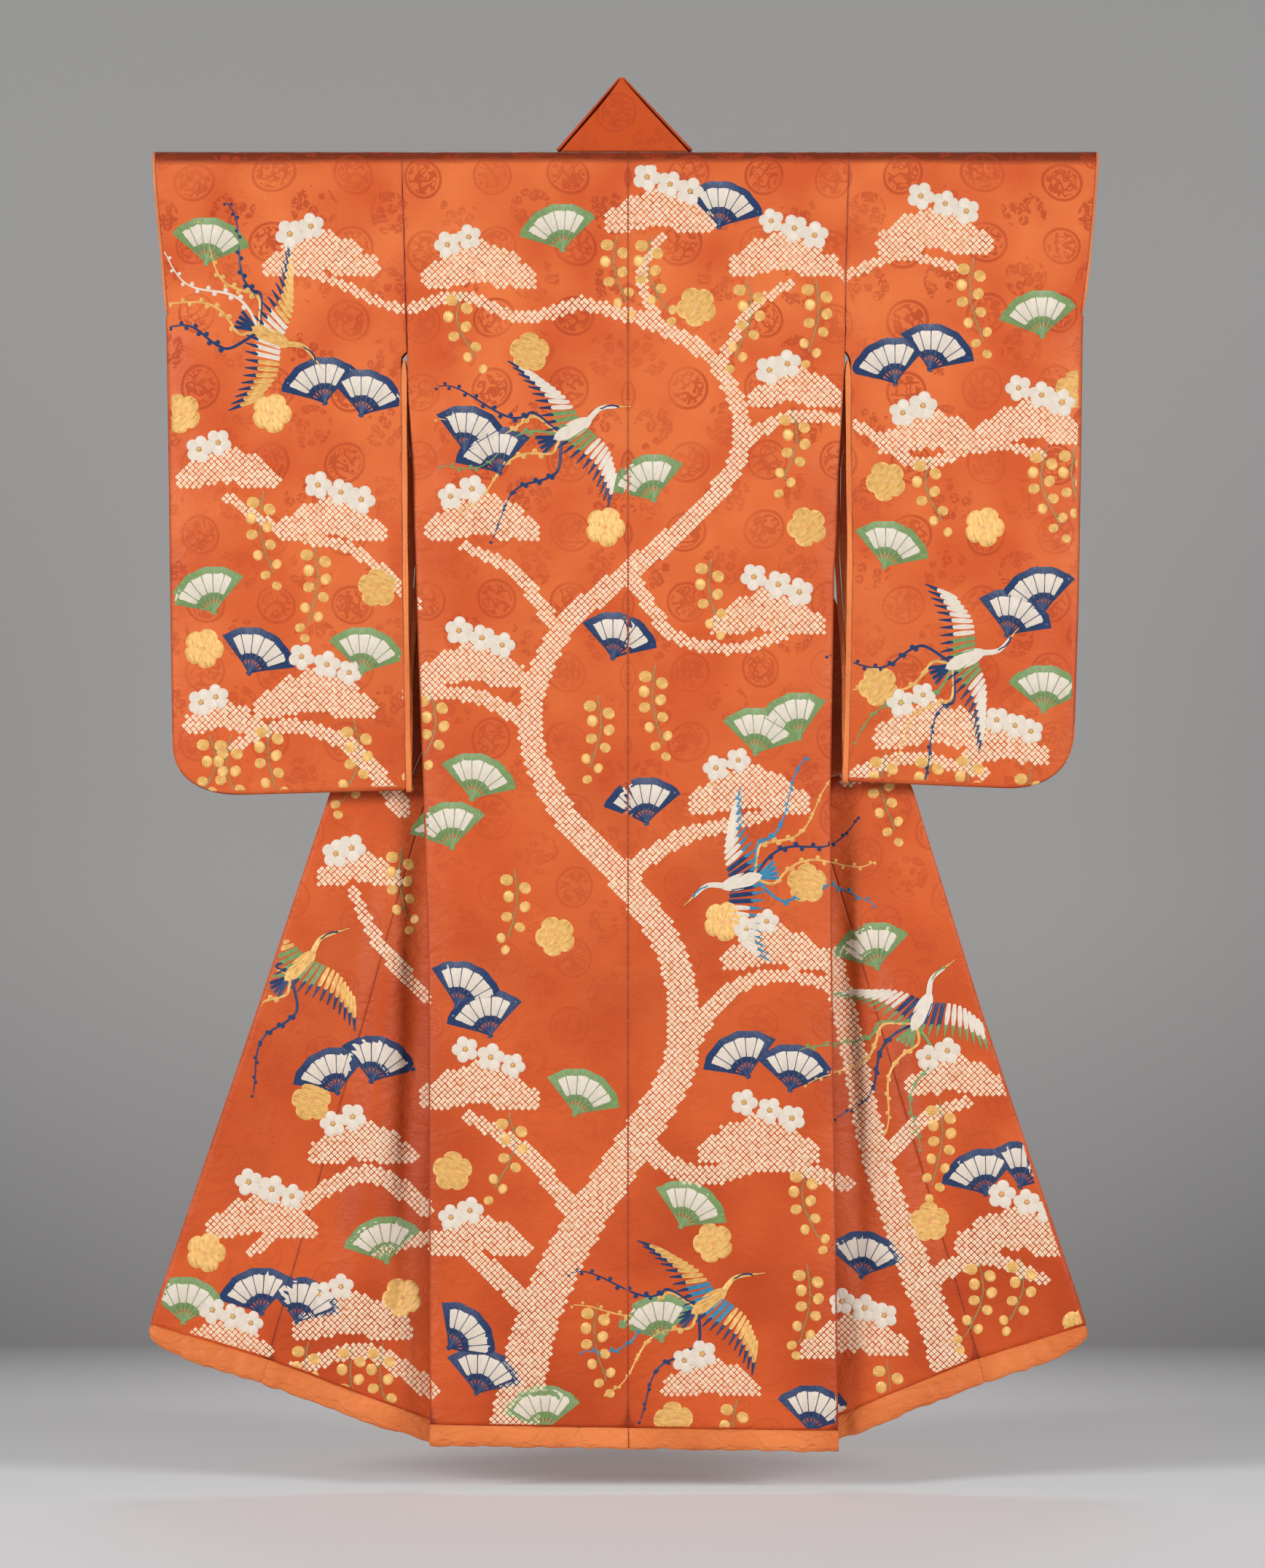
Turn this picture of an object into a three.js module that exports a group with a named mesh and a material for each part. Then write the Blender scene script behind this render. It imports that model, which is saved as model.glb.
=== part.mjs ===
import * as THREE from 'three';
import { mergeVertices } from 'three/addons/utils/BufferGeometryUtils.js';

// A furisode, the long-sleeved silk kimono, hung over a round rod with its back to the viewer
// and its two fronts turned outward behind it.
// Millimetres, +Z up, +X to the right as seen from behind, and the back faces -Y.
// The origin is the middle of the rod.

// Cloth and seams
const WALL = 1.6;
const SEAM = 0.3;
const FRONT_SEAM = 0.5;
const TURNED_SEAM = 1.8;
const MERGE = 1e-4;

// The rod
const ROD_RADIUS = 13.4;
const ROD_SLACK = 0.9;
const ROD_LEFT = -614;
const ROD_RIGHT = 608;
const ROD_FACETS = 24;
const ROLL_FACETS = 6;

// Where a wall's middle lies: round the rod, and where two layers are sewn together
const ROLL = ROD_RADIUS + ROD_SLACK + WALL / 2;
const SEWN = WALL / 2 + SEAM / 2;

// Heights
const ARMHOLE_END = -250;
const SIDE_SEWN_FROM = -300;
const SIDE_SEWN_FULLY = -420;
const WRIST_END = -198;
const SLEEVE_DROP = 850;
const COLLAR_END = -850;
const COLLAR_TOP = 113;
const NECK_SEAM = 15.75;

// Heights of the rows of points that neighbouring pieces share along their seams
const WRIST_ROWS = [0, -24, -75, -130, WRIST_END];
const COLLAR_ROWS = [0, -60, -130, -190, -250, -300, -350, -420, -520, -620, -735, COLLAR_END];
const SKIRT_ROWS = [-970, -1088, -1206, -1324, -1442, -1560];
const HEM_ROW = -1640;

// Depth of the hollow garment, as a share of the rod's
const LOW_BODY_OPEN = 0.6;
const SIDE_ROUND = 60;
const SLEEVE_ROUND = 80;

// The fronts' turn and the distance to the cloth behind it
const TURN_AT_COLLAR = 2;
const TURN_WIDEST = 10;
const TURN_AT_HEM = 5;
const TURN_BULGE = 0.65;
const LAYER_GAP_TOP = 3.2;
const LAYER_GAP = 12;
const COLLAR_DEPTH_TOP = 3;
const COLLAR_OFF_ROD = 1.5;

// Padded hem
const HEM_BACK = 27;
const HEM_FRONT = 32;
const HEM_THICK = 12;
const HEM_SIDES = 8;
const HEM_TAPER = 55;
const OKUMI_SEAM = 20;

// Lining that shows at the sleeves' open edges
const FURI_EDGE = 7;
const WRIST_EDGE = 3.2;
const EDGE_THICK = 2.4;

// Everything measured from the centre line outward, for each side as seen from behind
const SIDES = {
  left: { name: 'left', sign: -1, neck: 91, tip: 9.6, foldFoot: 256, hem: -1665, sleeveCorner: -761 },
  right: { name: 'right', sign: 1, neck: 81.5, tip: -7.8, foldFoot: 251, hem: -1673, sleeveCorner: -742 },
};

// Side edge of the body: armhole above, side seam below
const BODY_EDGE = [
  { z: 16, left: 298.5, right: 291.8 },
  { z: -130, left: 294.7, right: 287.4 },
  { z: -250, left: 291.8, right: 286 },
  { z: -480, left: 284, right: 276.5 },
  { z: -540, left: 281.5, right: 272.5 },
  { z: -830, left: 270.6, right: 267.7 },
  { z: -1055, left: 264, right: 269.6 },
  { z: -1680, left: 262, right: 278 },
];

// Open inner edge of the sleeve's back layer, and how far the front layer reaches past it
const SLEEVE_INNER = [
  { z: -250, left: 292.1, right: 286.3, frontReach: 0 },
  { z: -345, left: 291.6, right: 287, frontReach: 0 },
  { z: -400, left: 291.3, right: 287.6, frontReach: 13 },
  { z: -521, left: 290.5, right: 289, frontReach: 16 },
  { z: -681, left: 288.5, right: 287, frontReach: 4 },
  { z: -830, left: 286, right: 283, frontReach: 0 },
];

// Outer edge of the sleeve, above its rounded corner
const SLEEVE_OUTER = [
  { z: 16, left: 628, right: 622 },
  { z: -24, left: 626, right: 619 },
  { z: -130, left: 616, right: 610 },
  { z: -200, left: 610.5, right: 601 },
  { z: -361, left: 607.7, right: 599 },
  { z: -574, left: 605, right: 595.5 },
  { z: -770, left: 602, right: 589 },
];
const CORNER_WIDE = 95;
const CORNER_POWER = 2.3;

// Lower edge of the sleeve, from its inner to its outer end
const SLEEVE_BOTTOM = { left: { inner: -827.5, outer: -836 }, right: { inner: -816, outer: -829 } };

// Free front edge, unfolded: the collar's edge above and the overlap's edge below
const FRONT_EDGE = [
  { z: 113, left: 9.6, right: -7.8 },
  { z: -900, left: -105, right: -111 },
  { z: -1200, left: -120, right: -115 },
  { z: -1640, left: -143, right: -130 },
];

// Lower edge of the front, unfolded, by distance from the centre line
const FRONT_HEM = [
  { out: -150, left: -1643, right: -1643 },
  { out: 20, left: -1646, right: -1646 },
  { out: 150, left: -1657, right: -1658 },
  { out: 300, left: -1667, right: -1675 },
];

// Deep folds of the turned-out fronts, each running down beside the body
const FRONT_FOLDS = [
  { top: -840, low: -1560, fromBody: 6, toBody: 46, wide: 20, depth: 13 },
  { top: -900, low: -1620, fromBody: 42, toBody: 104, wide: 26, depth: -9 },
  { top: -1010, low: -1640, fromBody: 84, toBody: 176, wide: 30, depth: 7 },
];

const CLOTH_COLOUR = 0xcf5a30;
const LINING_COLOUR = 0xe98a4e;
const ROD_COLOUR = 0x8a6a48;

const { lerp, clamp, smoothstep, degToRad } = THREE.MathUtils;

/** Reads a column of a table at a place between its rows, in a straight line. */
function read(table, key, place, column) {
  const falling = table[0][key] > table[table.length - 1][key];
  const rows = falling ? [...table].reverse() : table;
  const after = clamp(rows.findIndex((row) => row[key] >= place), 1, rows.length - 1);
  const low = rows[place > rows[rows.length - 1][key] ? rows.length - 2 : after - 1];
  const high = rows[place > rows[rows.length - 1][key] ? rows.length - 1 : after];
  const share = clamp((place - low[key]) / (high[key] - low[key]), 0, 1);
  return lerp(low[column], high[column], share);
}

/** Evenly spaced numbers from one value to another. */
function steps(from, to, count) {
  return Array.from({ length: count + 1 }, (_, i) => lerp(from, to, i / count));
}

/** A closed mesh from points and triangles, turned so that its faces point out. */
function closedMesh(points, triangles) {
  const volume = triangles.reduce((sum, [a, b, c]) => {
    const cross = new THREE.Vector3().crossVectors(points[b], points[c]);
    return sum + points[a].dot(cross) / 6;
  }, 0);
  const index = triangles.flatMap(([a, b, c]) => (volume > 0 ? [a, b, c] : [a, c, b]));
  const geometry = new THREE.BufferGeometry();
  geometry.setAttribute('position', new THREE.Float32BufferAttribute(points.flatMap((p) => p.toArray()), 3));
  geometry.setIndex(index);
  geometry.computeVertexNormals();
  return geometry;
}

/** A wall of even thickness on patches of middle points that share their common edges. */
function clothWall(patches, thickness = WALL) {
  const corners = [];
  for (const rows of patches) {
    for (let r = 0; r + 1 < rows.length; r += 1) {
      for (let c = 0; c + 1 < rows[r].length; c += 1) {
        const [a, b] = [rows[r][c], rows[r][c + 1]];
        const [d, e] = [rows[r + 1][c], rows[r + 1][c + 1]];
        corners.push(a, b, e, a, e, d);
      }
    }
  }
  const soup = new THREE.BufferGeometry();
  soup.setAttribute('position', new THREE.Float32BufferAttribute(corners.flatMap((p) => p.toArray()), 3));
  const middle = mergeVertices(soup, MERGE);
  middle.computeVertexNormals();
  const place = middle.attributes.position;
  const normal = middle.attributes.normal;
  const count = place.count;
  const points = [];
  for (const side of [0.5, -0.5]) {
    for (let i = 0; i < count; i += 1) {
      const out = new THREE.Vector3().fromBufferAttribute(normal, i).multiplyScalar(side * thickness);
      points.push(new THREE.Vector3().fromBufferAttribute(place, i).add(out));
    }
  }
  const faces = [];
  const edges = new Map();
  const index = middle.index.array;
  for (let i = 0; i < index.length; i += 3) {
    const face = [index[i], index[i + 1], index[i + 2]];
    faces.push(face, [face[0] + count, face[2] + count, face[1] + count]);
    for (let k = 0; k < 3; k += 1) {
      const [from, to] = [face[k], face[(k + 1) % 3]];
      const back = `${to}_${from}`;
      if (edges.has(back)) {
        edges.delete(back);
      } else {
        edges.set(`${from}_${to}`, [from, to]);
      }
    }
  }
  for (const [from, to] of edges.values()) {
    faces.push([to, from, from + count], [to, from + count, to + count]);
  }
  return closedMesh(points, faces);
}

/** A solid skinned over rings of equally many points, closed with a flat face at each end. */
function skin(rings) {
  const size = rings[0].length;
  const faces = [];
  for (let r = 0; r + 1 < rings.length; r += 1) {
    for (let k = 0; k < size; k += 1) {
      const next = (k + 1) % size;
      const [a, b] = [r * size + k, r * size + next];
      faces.push([a, b, b + size], [a, b + size, a + size]);
    }
  }
  const last = (rings.length - 1) * size;
  for (let k = 1; k + 1 < size; k += 1) {
    faces.push([0, k + 1, k], [last, last + k, last + k + 1]);
  }
  return closedMesh(rings.flat(), faces);
}

/** How open the hanging cloth still is at a height: whole at the rod, closed at the sleeve's foot. */
function openness(z) {
  const fall = clamp(-z / SLEEVE_DROP, 0, 1);
  return Math.sqrt(1 - fall * fall);
}

/** A share that falls from 1 to 0 in a quarter circle over a distance before an edge. */
function roundedOff(out, edge, distance) {
  const near = clamp((out - (edge - distance)) / distance, 0, 1);
  return Math.sqrt(1 - near * near);
}

/** Half the depth of the body between its back and its front. */
function bodyDepth(side, out, z) {
  const open = Math.max(openness(z), LOW_BODY_OPEN);
  const sewn = smoothstep(-z, -SIDE_SEWN_FROM, -SIDE_SEWN_FULLY);
  const edge = read(BODY_EDGE, 'z', z, side.name);
  return SEWN + (ROLL - SEWN) * open * lerp(1, roundedOff(out, edge, SIDE_ROUND), sewn);
}

/** Outer edge of the sleeve at a height, round its lower corner. */
function sleeveOuter(side, z) {
  const bottom = SLEEVE_BOTTOM[side.name].outer;
  const into = clamp((side.sleeveCorner - z) / (side.sleeveCorner - bottom), 0, 1);
  const round = (1 - into ** CORNER_POWER) ** (1 / CORNER_POWER);
  return read(SLEEVE_OUTER, 'z', z, side.name) - CORNER_WIDE * (1 - round);
}

/** Half the depth of the sleeve, which closes to its foot and to its sewn outer edge. */
function sleeveDepth(side, out, z) {
  const sewn = smoothstep(-z, -WRIST_END - 30, -WRIST_END + 40);
  const round = roundedOff(out, sleeveOuter(side, z), SLEEVE_ROUND);
  return SEWN + (ROLL - SEWN) * openness(z) * lerp(1, round, sewn);
}

/** The straight line along which a front is turned back outward, in the unfolded cloth. */
function foldLine(side) {
  const [across, down] = [side.foldFoot - side.tip, side.hem - COLLAR_TOP];
  const length = Math.hypot(across, down);
  return { along: [across / length, down / length], inward: [down / length, -across / length], length };
}

/** Distance past the fold line (q, towards the wearer's middle) and along it (t). */
function fromFold(side, out, z) {
  const { along, inward } = foldLine(side);
  const [dx, dz] = [out - side.tip, z - COLLAR_TOP];
  return { q: dx * inward[0] + dz * inward[1], t: dx * along[0] + dz * along[1] };
}

/** Half the width of cloth that goes round the turn, by distance along the fold line. */
function turnWidth(side, t) {
  const { length } = foldLine(side);
  const opened = lerp(TURN_AT_COLLAR, TURN_WIDEST, smoothstep(t, 0, 300));
  return lerp(opened, TURN_AT_HEM, smoothstep(t, length - 450, length));
}

/** Depth of the fronts' first layer, which hangs straight down inside. */
function firstLayer(side, out, z) {
  const off = out < side.neck ? COLLAR_OFF_ROD * smoothstep(z, -200, 0) : 0;
  return off + (z > 0 ? lerp(ROLL, COLLAR_DEPTH_TOP, z / COLLAR_TOP) : bodyDepth(side, out, z));
}

/** How far the folds push the turned-out cloth back at a place. */
function foldPush(side, out, z) {
  const edge = read(BODY_EDGE, 'z', z, side.name);
  return FRONT_FOLDS.reduce((sum, fold) => {
    const down = clamp((fold.top - z) / (fold.top - fold.low), 0, 1);
    const centre = edge + lerp(fold.fromBody, fold.toBody, down);
    const across = (out - centre) / fold.wide;
    return sum + fold.depth * Math.sin(Math.PI * down) ** 0.7 * Math.exp(-across * across);
  }, 0);
}

/** Depth of the fronts' second layer, which runs outward behind the first. */
function secondLayer(side, out, z, t) {
  const gap = lerp(LAYER_GAP_TOP, LAYER_GAP, smoothstep(t, 0, 300));
  const hang = z > 0 ? lerp(ROLL, COLLAR_DEPTH_TOP, z / COLLAR_TOP) : lerp(ROLL, 17, smoothstep(-z, 0, 900));
  return hang + gap + foldPush(side, out, z);
}

/** Where a point of the unfolded front hangs. */
function frontPoint(side, out, z) {
  const { along, inward } = foldLine(side);
  const { q, t } = fromFold(side, out, z);
  const turn = turnWidth(side, t);
  if (q <= -turn) {
    return new THREE.Vector3(side.sign * out, firstLayer(side, out, z), z);
  }
  const foot = [side.tip + along[0] * t, COLLAR_TOP + along[1] * t];
  const place = (past) => [foot[0] + inward[0] * past, foot[1] + inward[1] * past];
  if (q >= turn) {
    const [x, height] = place(-q);
    return new THREE.Vector3(side.sign * x, secondLayer(side, x, height, t), height);
  }
  const angle = ((q + turn) / (2 * turn)) * Math.PI;
  const [x0, z0] = place(-turn);
  const [y1, y2] = [firstLayer(side, x0, z0), secondLayer(side, x0, z0, t)];
  const [x, height] = place(-turn + TURN_BULGE * turn * Math.sin(angle));
  const depth = (y1 + y2) / 2 - ((y2 - y1) / 2) * Math.cos(angle);
  return new THREE.Vector3(side.sign * x, depth, height);
}

/** Column places from one end to the other, with enough of them round a turn in between. */
function columnsAround(start, end, turnStart, turnEnd, least, outside) {
  const raw = [
    ...steps(start, turnStart, outside).slice(0, -1),
    ...steps(turnStart, turnEnd, 6).slice(0, -1),
    ...steps(turnEnd, end, outside),
  ];
  const way = Math.sign(end - start);
  const last = raw.length - 1;
  return raw.map((place, i) => {
    const far = (place - start) * way;
    const span = (end - start) * way;
    return start + way * clamp(far, i * least, span - (last - i) * least);
  });
}

/** Half the clearance along the collar's seam, which is widest where the seam goes round the turn. */
function collarGap(z) {
  return SEAM / 2 + (TURNED_SEAM / 2) * clamp(1 - Math.abs(z + 285) / 110, 0, 1);
}

/** Inner boundary of the front panel: the collar's seam above, the overlap's seam below. */
function collarSeam(side, z) {
  const slope = (side.tip - read(FRONT_EDGE, 'z', -900, side.name)) / (COLLAR_TOP + 900);
  return side.neck - slope * (NECK_SEAM - z);
}

function panelInner(side, z) {
  return Math.max(collarSeam(side, Math.min(z, NECK_SEAM)), OKUMI_SEAM);
}

/** Columns of the body panel at a height, from its side edge inward to the neck or front seam. */
function frontColumns(side, z) {
  const { along } = foldLine(side);
  const t = (z - COLLAR_TOP) / along[1];
  const fold = side.tip + along[0] * t;
  const turn = turnWidth(side, t);
  const edge = read(BODY_EDGE, 'z', z, side.name) - SEAM / 2;
  return columnsAround(edge, panelInner(side, z) + Math.max(collarGap(z), FRONT_SEAM / 2), fold + turn, fold - turn, 1.5, 3);
}

/** A point of the back, or of the cloth round the rod, at an angle from the back's foot. */
function roundRod(x, angle) {
  return new THREE.Vector3(x, -ROLL * Math.cos(angle), ROLL * Math.sin(angle));
}

/** One body length: up the back, over the rod and down the front, turned outward. */
function bodyLength(side) {
  const top = frontColumns(side, 0);
  const backHeights = [...steps(side.hem, -420, 4), -350, -250, -130, -60, 0];
  const shoulder = (z) => {
    const edge = read(BODY_EDGE, 'z', z, side.name) - SEAM / 2;
    return top.map((out) => lerp(side.neck, edge, (out - top[top.length - 1]) / (top[0] - top[top.length - 1])));
  };
  const backPoint = (out, z) => new THREE.Vector3(side.sign * out, -bodyDepth(side, out, z), z);
  const back = backHeights.map((z) => shoulder(z).map((out) => backPoint(out, z)));
  const middleColumns = [side.neck, side.neck / 2, SEAM / 2];
  const middle = backHeights.map((z) => middleColumns.map((out) => backPoint(out, z)));
  const roll = steps(0, 180, ROLL_FACETS).map((a) => shoulder(0).map((out) => roundRod(side.sign * out, degToRad(a))));
  const neck = steps(0, 75, 3).map((a) => middleColumns.map((out) => roundRod(side.sign * out, degToRad(a))));
  const front = [...COLLAR_ROWS, ...SKIRT_ROWS].map((z) => frontColumns(side, z).map((out) => frontPoint(side, out, z)));
  front[0] = roll[roll.length - 1];
  const foot = frontColumns(side, HEM_ROW).map((out) => [out, read(FRONT_HEM, 'out', out, side.name)]);
  front.push(foot.map(([out, z]) => frontPoint(side, out, z)));
  return clothWall([back, middle, roll, neck, front]);
}

/** The overlap panel, from its point under the collar to the hem. */
function overlapPanel(side) {
  const inner = OKUMI_SEAM - FRONT_SEAM / 2;
  const under = (z) => collarSeam(side, z) + FRONT_SEAM / 2;
  const slope = (side.neck - under(-900)) / (NECK_SEAM + 900);
  const point = (slack) => NECK_SEAM - (side.neck - OKUMI_SEAM + slack) / slope;
  const outerAt = (z) => read(FRONT_EDGE, 'z', z, side.name);
  const low = COLLAR_END - SEAM;
  const tip = point(2.2);
  const wedgeRows = [tip, ...COLLAR_ROWS.filter((z) => z < tip - 20 && z > low), low];
  const wedge = wedgeRows.map((z) => steps(inner, under(z), 2).map((out) => [out, z]));
  const columns = (z) => [...steps(inner, under(low), 2), ...steps(under(low), outerAt(z), 4).slice(1)];
  const field = [low, ...SKIRT_ROWS].map((z) => columns(z).map((out) => [out, z]));
  field.push(columns(HEM_ROW).map((out) => [out, read(FRONT_HEM, 'out', out, side.name)]));
  return clothWall([wedge, field].map((rows) => rows.map((row) => row.map(([out, z]) => frontPoint(side, out, z)))));
}

/** Height of a sleeve's row at a column, level at the top and aslant at the foot. */
function sleeveHeight(side, share, level) {
  const { inner, outer } = SLEEVE_BOTTOM[side.name];
  const middle = (inner + outer) / 2;
  return level + (lerp(inner, outer, share) - middle) * smoothstep(-level, 300, -middle);
}

/** One sleeve: up its back layer, over the rod and down its front layer. */
function sleeve(side) {
  const { inner, outer } = SLEEVE_BOTTOM[side.name];
  const foot = (inner + outer) / 2;
  const corner = [0.25, 0.5, 0.72, 0.9, 1].map((into) => lerp(side.sleeveCorner, foot, into));
  const sewn = [WRIST_END - 2, ARMHOLE_END, ARMHOLE_END - 7, -332, -400, -500, -600, -690];
  const levels = [...WRIST_ROWS, ...sewn, side.sleeveCorner, ...corner];
  const shares = [0, 0.25, 0.6, 0.84, 0.93, 0.98, 1];
  const innerEdge = (z, reach) => {
    const seam = read(BODY_EDGE, 'z', z, side.name) + SEAM / 2;
    const open = read(SLEEVE_INNER, 'z', z, side.name) - reach * read(SLEEVE_INNER, 'z', z, 'frontReach');
    return z > ARMHOLE_END - 1 ? seam : open + FURI_EDGE + SEAM;
  };
  const row = (level, front) => {
    const from = innerEdge(level, front ? 1 : 0);
    const to = sleeveOuter(side, level) - (level >= WRIST_END ? WRIST_EDGE + SEAM : 0);
    return shares.map((share) => {
      const out = lerp(from, to, share);
      const depth = sleeveDepth(side, out, level);
      const z = sleeveHeight(side, (out - from) / (sleeveOuter(side, -300) - from), level);
      return new THREE.Vector3(side.sign * out, front ? depth : -depth, z);
    });
  };
  const back = [...levels].reverse().map((level) => row(level, false));
  const front = levels.map((level) => row(level, true));
  const outs = front[0].map((p) => p.x);
  const roll = steps(0, 180, ROLL_FACETS).map((a) => outs.map((x) => roundRod(x, degToRad(a))));
  back[back.length - 1] = roll[0];
  front[0] = roll[roll.length - 1];
  return clothWall([back, roll, front]);
}

/** A strip carried along a path of points, across and thick along the two given directions. */
function edgeStrip(path, wide, thick) {
  const rings = path.map(({ at, across, out }) => [[-1, -1], [1, -1], [1, 1], [-1, 1]].map(([u, v]) => (
    at.clone().addScaledVector(across, (u * wide) / 2).addScaledVector(out, (v * thick) / 2)
  )));
  return skin(rings);
}

/** Lining rolled out along the sleeve's open inner edge: down the back layer and up the front one. */
function furiStrip(side) {
  const across = new THREE.Vector3(side.sign, 0, 0);
  const foot = SLEEVE_BOTTOM[side.name].inner;
  const heights = [ARMHOLE_END - 10, -332, -400, -500, -600, -690, -760, foot];
  const place = (z, front) => {
    const reach = front ? read(SLEEVE_INNER, 'z', z, 'frontReach') : 0;
    const out = read(SLEEVE_INNER, 'z', z, side.name) - reach + FURI_EDGE / 2;
    const depth = Math.max(sleeveDepth(side, out, z), EDGE_THICK / 2 + SEAM / 2);
    const way = front ? 1 : -1;
    return { at: new THREE.Vector3(side.sign * out, way * depth, z), across, out: new THREE.Vector3(0, way, 0) };
  };
  const down = heights.map((z) => place(z, false));
  const up = [...heights].reverse().map((z) => place(z, true));
  const turn = { at: down[down.length - 1].at.clone().setY(0).setZ(foot - 1.2), across, out: new THREE.Vector3(0, 0, -1) };
  return edgeStrip([...down, turn, ...up], FURI_EDGE, EDGE_THICK);
}

/** Lining rolled out along the wrist opening: up the back layer, over the rod, down the front one. */
function wristStrip(side) {
  const across = new THREE.Vector3(side.sign, 0, 0);
  const place = (z, front) => {
    const out = sleeveOuter(side, z) - WRIST_EDGE / 2;
    const way = front ? 1 : -1;
    const depth = way * sleeveDepth(side, out, z);
    return { at: new THREE.Vector3(side.sign * out, depth, z), across, out: new THREE.Vector3(0, way, 0) };
  };
  const top = sleeveOuter(side, 0) - WRIST_EDGE / 2;
  const over = steps(0, 180, ROLL_FACETS).slice(1, -1).map((a) => {
    const at = roundRod(side.sign * top, degToRad(a));
    return { at, across, out: new THREE.Vector3(0, at.y, at.z).normalize() };
  });
  const up = [...WRIST_ROWS].reverse().map((z) => place(z, false));
  const down = WRIST_ROWS.map((z) => place(z, true));
  return edgeStrip([...up, ...over, ...down], WRIST_EDGE, EDGE_THICK);
}

/** Back of the collar: it stands up from the neck and narrows to a pinched point. */
function collarPeak() {
  const inset = 1.6;
  const rows = [0, 0.2, 0.42, 0.64, 0.82, 0.92, 0.975].map((rise) => {
    const z = lerp(NECK_SEAM, COLLAR_TOP, rise);
    const edge = (side) => side.sign * lerp(side.neck, side.tip, rise);
    const hollow = 5 * Math.sin(Math.PI * rise) * rise;
    const from = edge(SIDES.left) + inset + hollow;
    const to = edge(SIDES.right) - inset - 0.5 * hollow;
    const half = Math.max((to - from) / 2, 1.4);
    const centre = (from + to) / 2;
    const depth = lerp(-ROLL * Math.cos(degToRad(75)), -1, rise);
    return steps(-half, half, 6).map((x) => new THREE.Vector3(centre + x, depth, z));
  });
  return clothWall([rows]);
}

/** One run of the collar: round the mitre at the peak, then down along the front edge. */
function collarRun(side) {
  const ends = (k) => {
    const [seamZ, edgeZ] = [lerp(NECK_SEAM, COLLAR_END, k), lerp(COLLAR_TOP, COLLAR_END, k)];
    const edge = read(FRONT_EDGE, 'z', edgeZ, side.name);
    return { seam: [collarSeam(side, seamZ) - collarGap(seamZ), seamZ], edge: [edge, edgeZ] };
  };
  const rowOf = (k) => {
    const { seam, edge } = ends(k);
    const [atSeam, atEdge] = [fromFold(side, ...seam), fromFold(side, ...edge)];
    const cross = clamp(-atSeam.q / (atEdge.q - atSeam.q), -2, 3);
    const turn = turnWidth(side, lerp(atSeam.t, atEdge.t, clamp(cross, 0, 1))) / Math.abs(atEdge.q - atSeam.q);
    const shares = columnsAround(0, 1, cross - turn, cross + turn, 0.02, 2);
    return shares.map((s) => [lerp(seam[0], edge[0], s), lerp(seam[1], edge[1], s)]);
  };
  const run = [NECK_SEAM, ...COLLAR_ROWS].map((z) => (
    rowOf((NECK_SEAM - z) / (NECK_SEAM - COLLAR_END)).map(([out, height]) => frontPoint(side, out, height))
  ));
  const peakDepth = (z) => lerp(-ROLL * Math.cos(degToRad(75)), -1, clamp((z - NECK_SEAM) / (COLLAR_TOP - NECK_SEAM), 0, 1));
  const mitre = [140, 105, 70, 35].map((degrees) => run[0].map((p) => {
    const angle = degToRad(degrees);
    const [front, back] = [p.y, peakDepth(p.z)];
    const half = (front - back) / 2;
    const bulge = 0.3 * half * Math.sin(angle);
    return new THREE.Vector3(p.x + side.sign * bulge, (front + back) / 2 + half * Math.cos(angle), p.z + bulge);
  }));
  return clothWall([[...mitre, ...run]]);
}

/** A padded roll hung from a line of points: each has its place, its way down and its way out. */
function paddedRoll(line) {
  const rings = line.map(({ at, down, out, high, thick }) => (
    Array.from({ length: HEM_SIDES }, (_, i) => {
      const angle = (i / HEM_SIDES) * 2 * Math.PI;
      const squared = (v) => Math.sign(v) * Math.abs(v) ** 0.8;
      return at.clone()
        .addScaledVector(down, high / 2 + 2 * SEAM - (high / 2) * squared(Math.cos(angle)))
        .addScaledVector(out, (thick / 2) * squared(Math.sin(angle)));
    })
  ));
  return skin(rings);
}

function backHem(side) {
  const edge = read(BODY_EDGE, 'z', side.hem, side.name);
  const down = new THREE.Vector3(0, 0, -1);
  const out = new THREE.Vector3(0, -1, 0);
  return paddedRoll(steps(SEAM / 2, edge, 6).map((x) => {
    const depth = Math.max(bodyDepth(side, x, side.hem), HEM_THICK / 2 + SEAM);
    const at = new THREE.Vector3(side.sign * x, -depth, side.hem);
    return { at, down, out, high: HEM_BACK, thick: HEM_THICK };
  }));
}

/** A stretch of the turned-out front's hem between two distances from the centre line. */
function frontHem(side, from, to, tapers) {
  return paddedRoll(steps(from, to, 7).map((x) => {
    const z = read(FRONT_HEM, 'out', x, side.name);
    const at = frontPoint(side, x, z);
    const down = frontPoint(side, x, z - 1).sub(frontPoint(side, x, z)).normalize();
    const along = frontPoint(side, x - 1, z).sub(frontPoint(side, x + 1, z)).normalize();
    const out = new THREE.Vector3().crossVectors(along, down).normalize();
    const share = tapers ? clamp(Math.abs(x - to) / HEM_TAPER, 0, 1) : 1;
    const full = lerp(0.3, 1, Math.sqrt(share));
    return { at, down, out, high: HEM_FRONT * full, thick: HEM_THICK * full };
  }));
}

const silk = () => new THREE.MeshStandardMaterial({ color: CLOTH_COLOUR, roughness: 0.5, metalness: 0 });
const lining = () => new THREE.MeshStandardMaterial({ color: LINING_COLOUR, roughness: 0.55, metalness: 0 });
const wood = () => new THREE.MeshStandardMaterial({ color: ROD_COLOUR, roughness: 0.6, metalness: 0 });

const furisode = new THREE.Group();

function add(name, geometry, material) {
  const mesh = new THREE.Mesh(geometry, material);
  mesh.name = name;
  furisode.add(mesh);
  return mesh;
}

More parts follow.
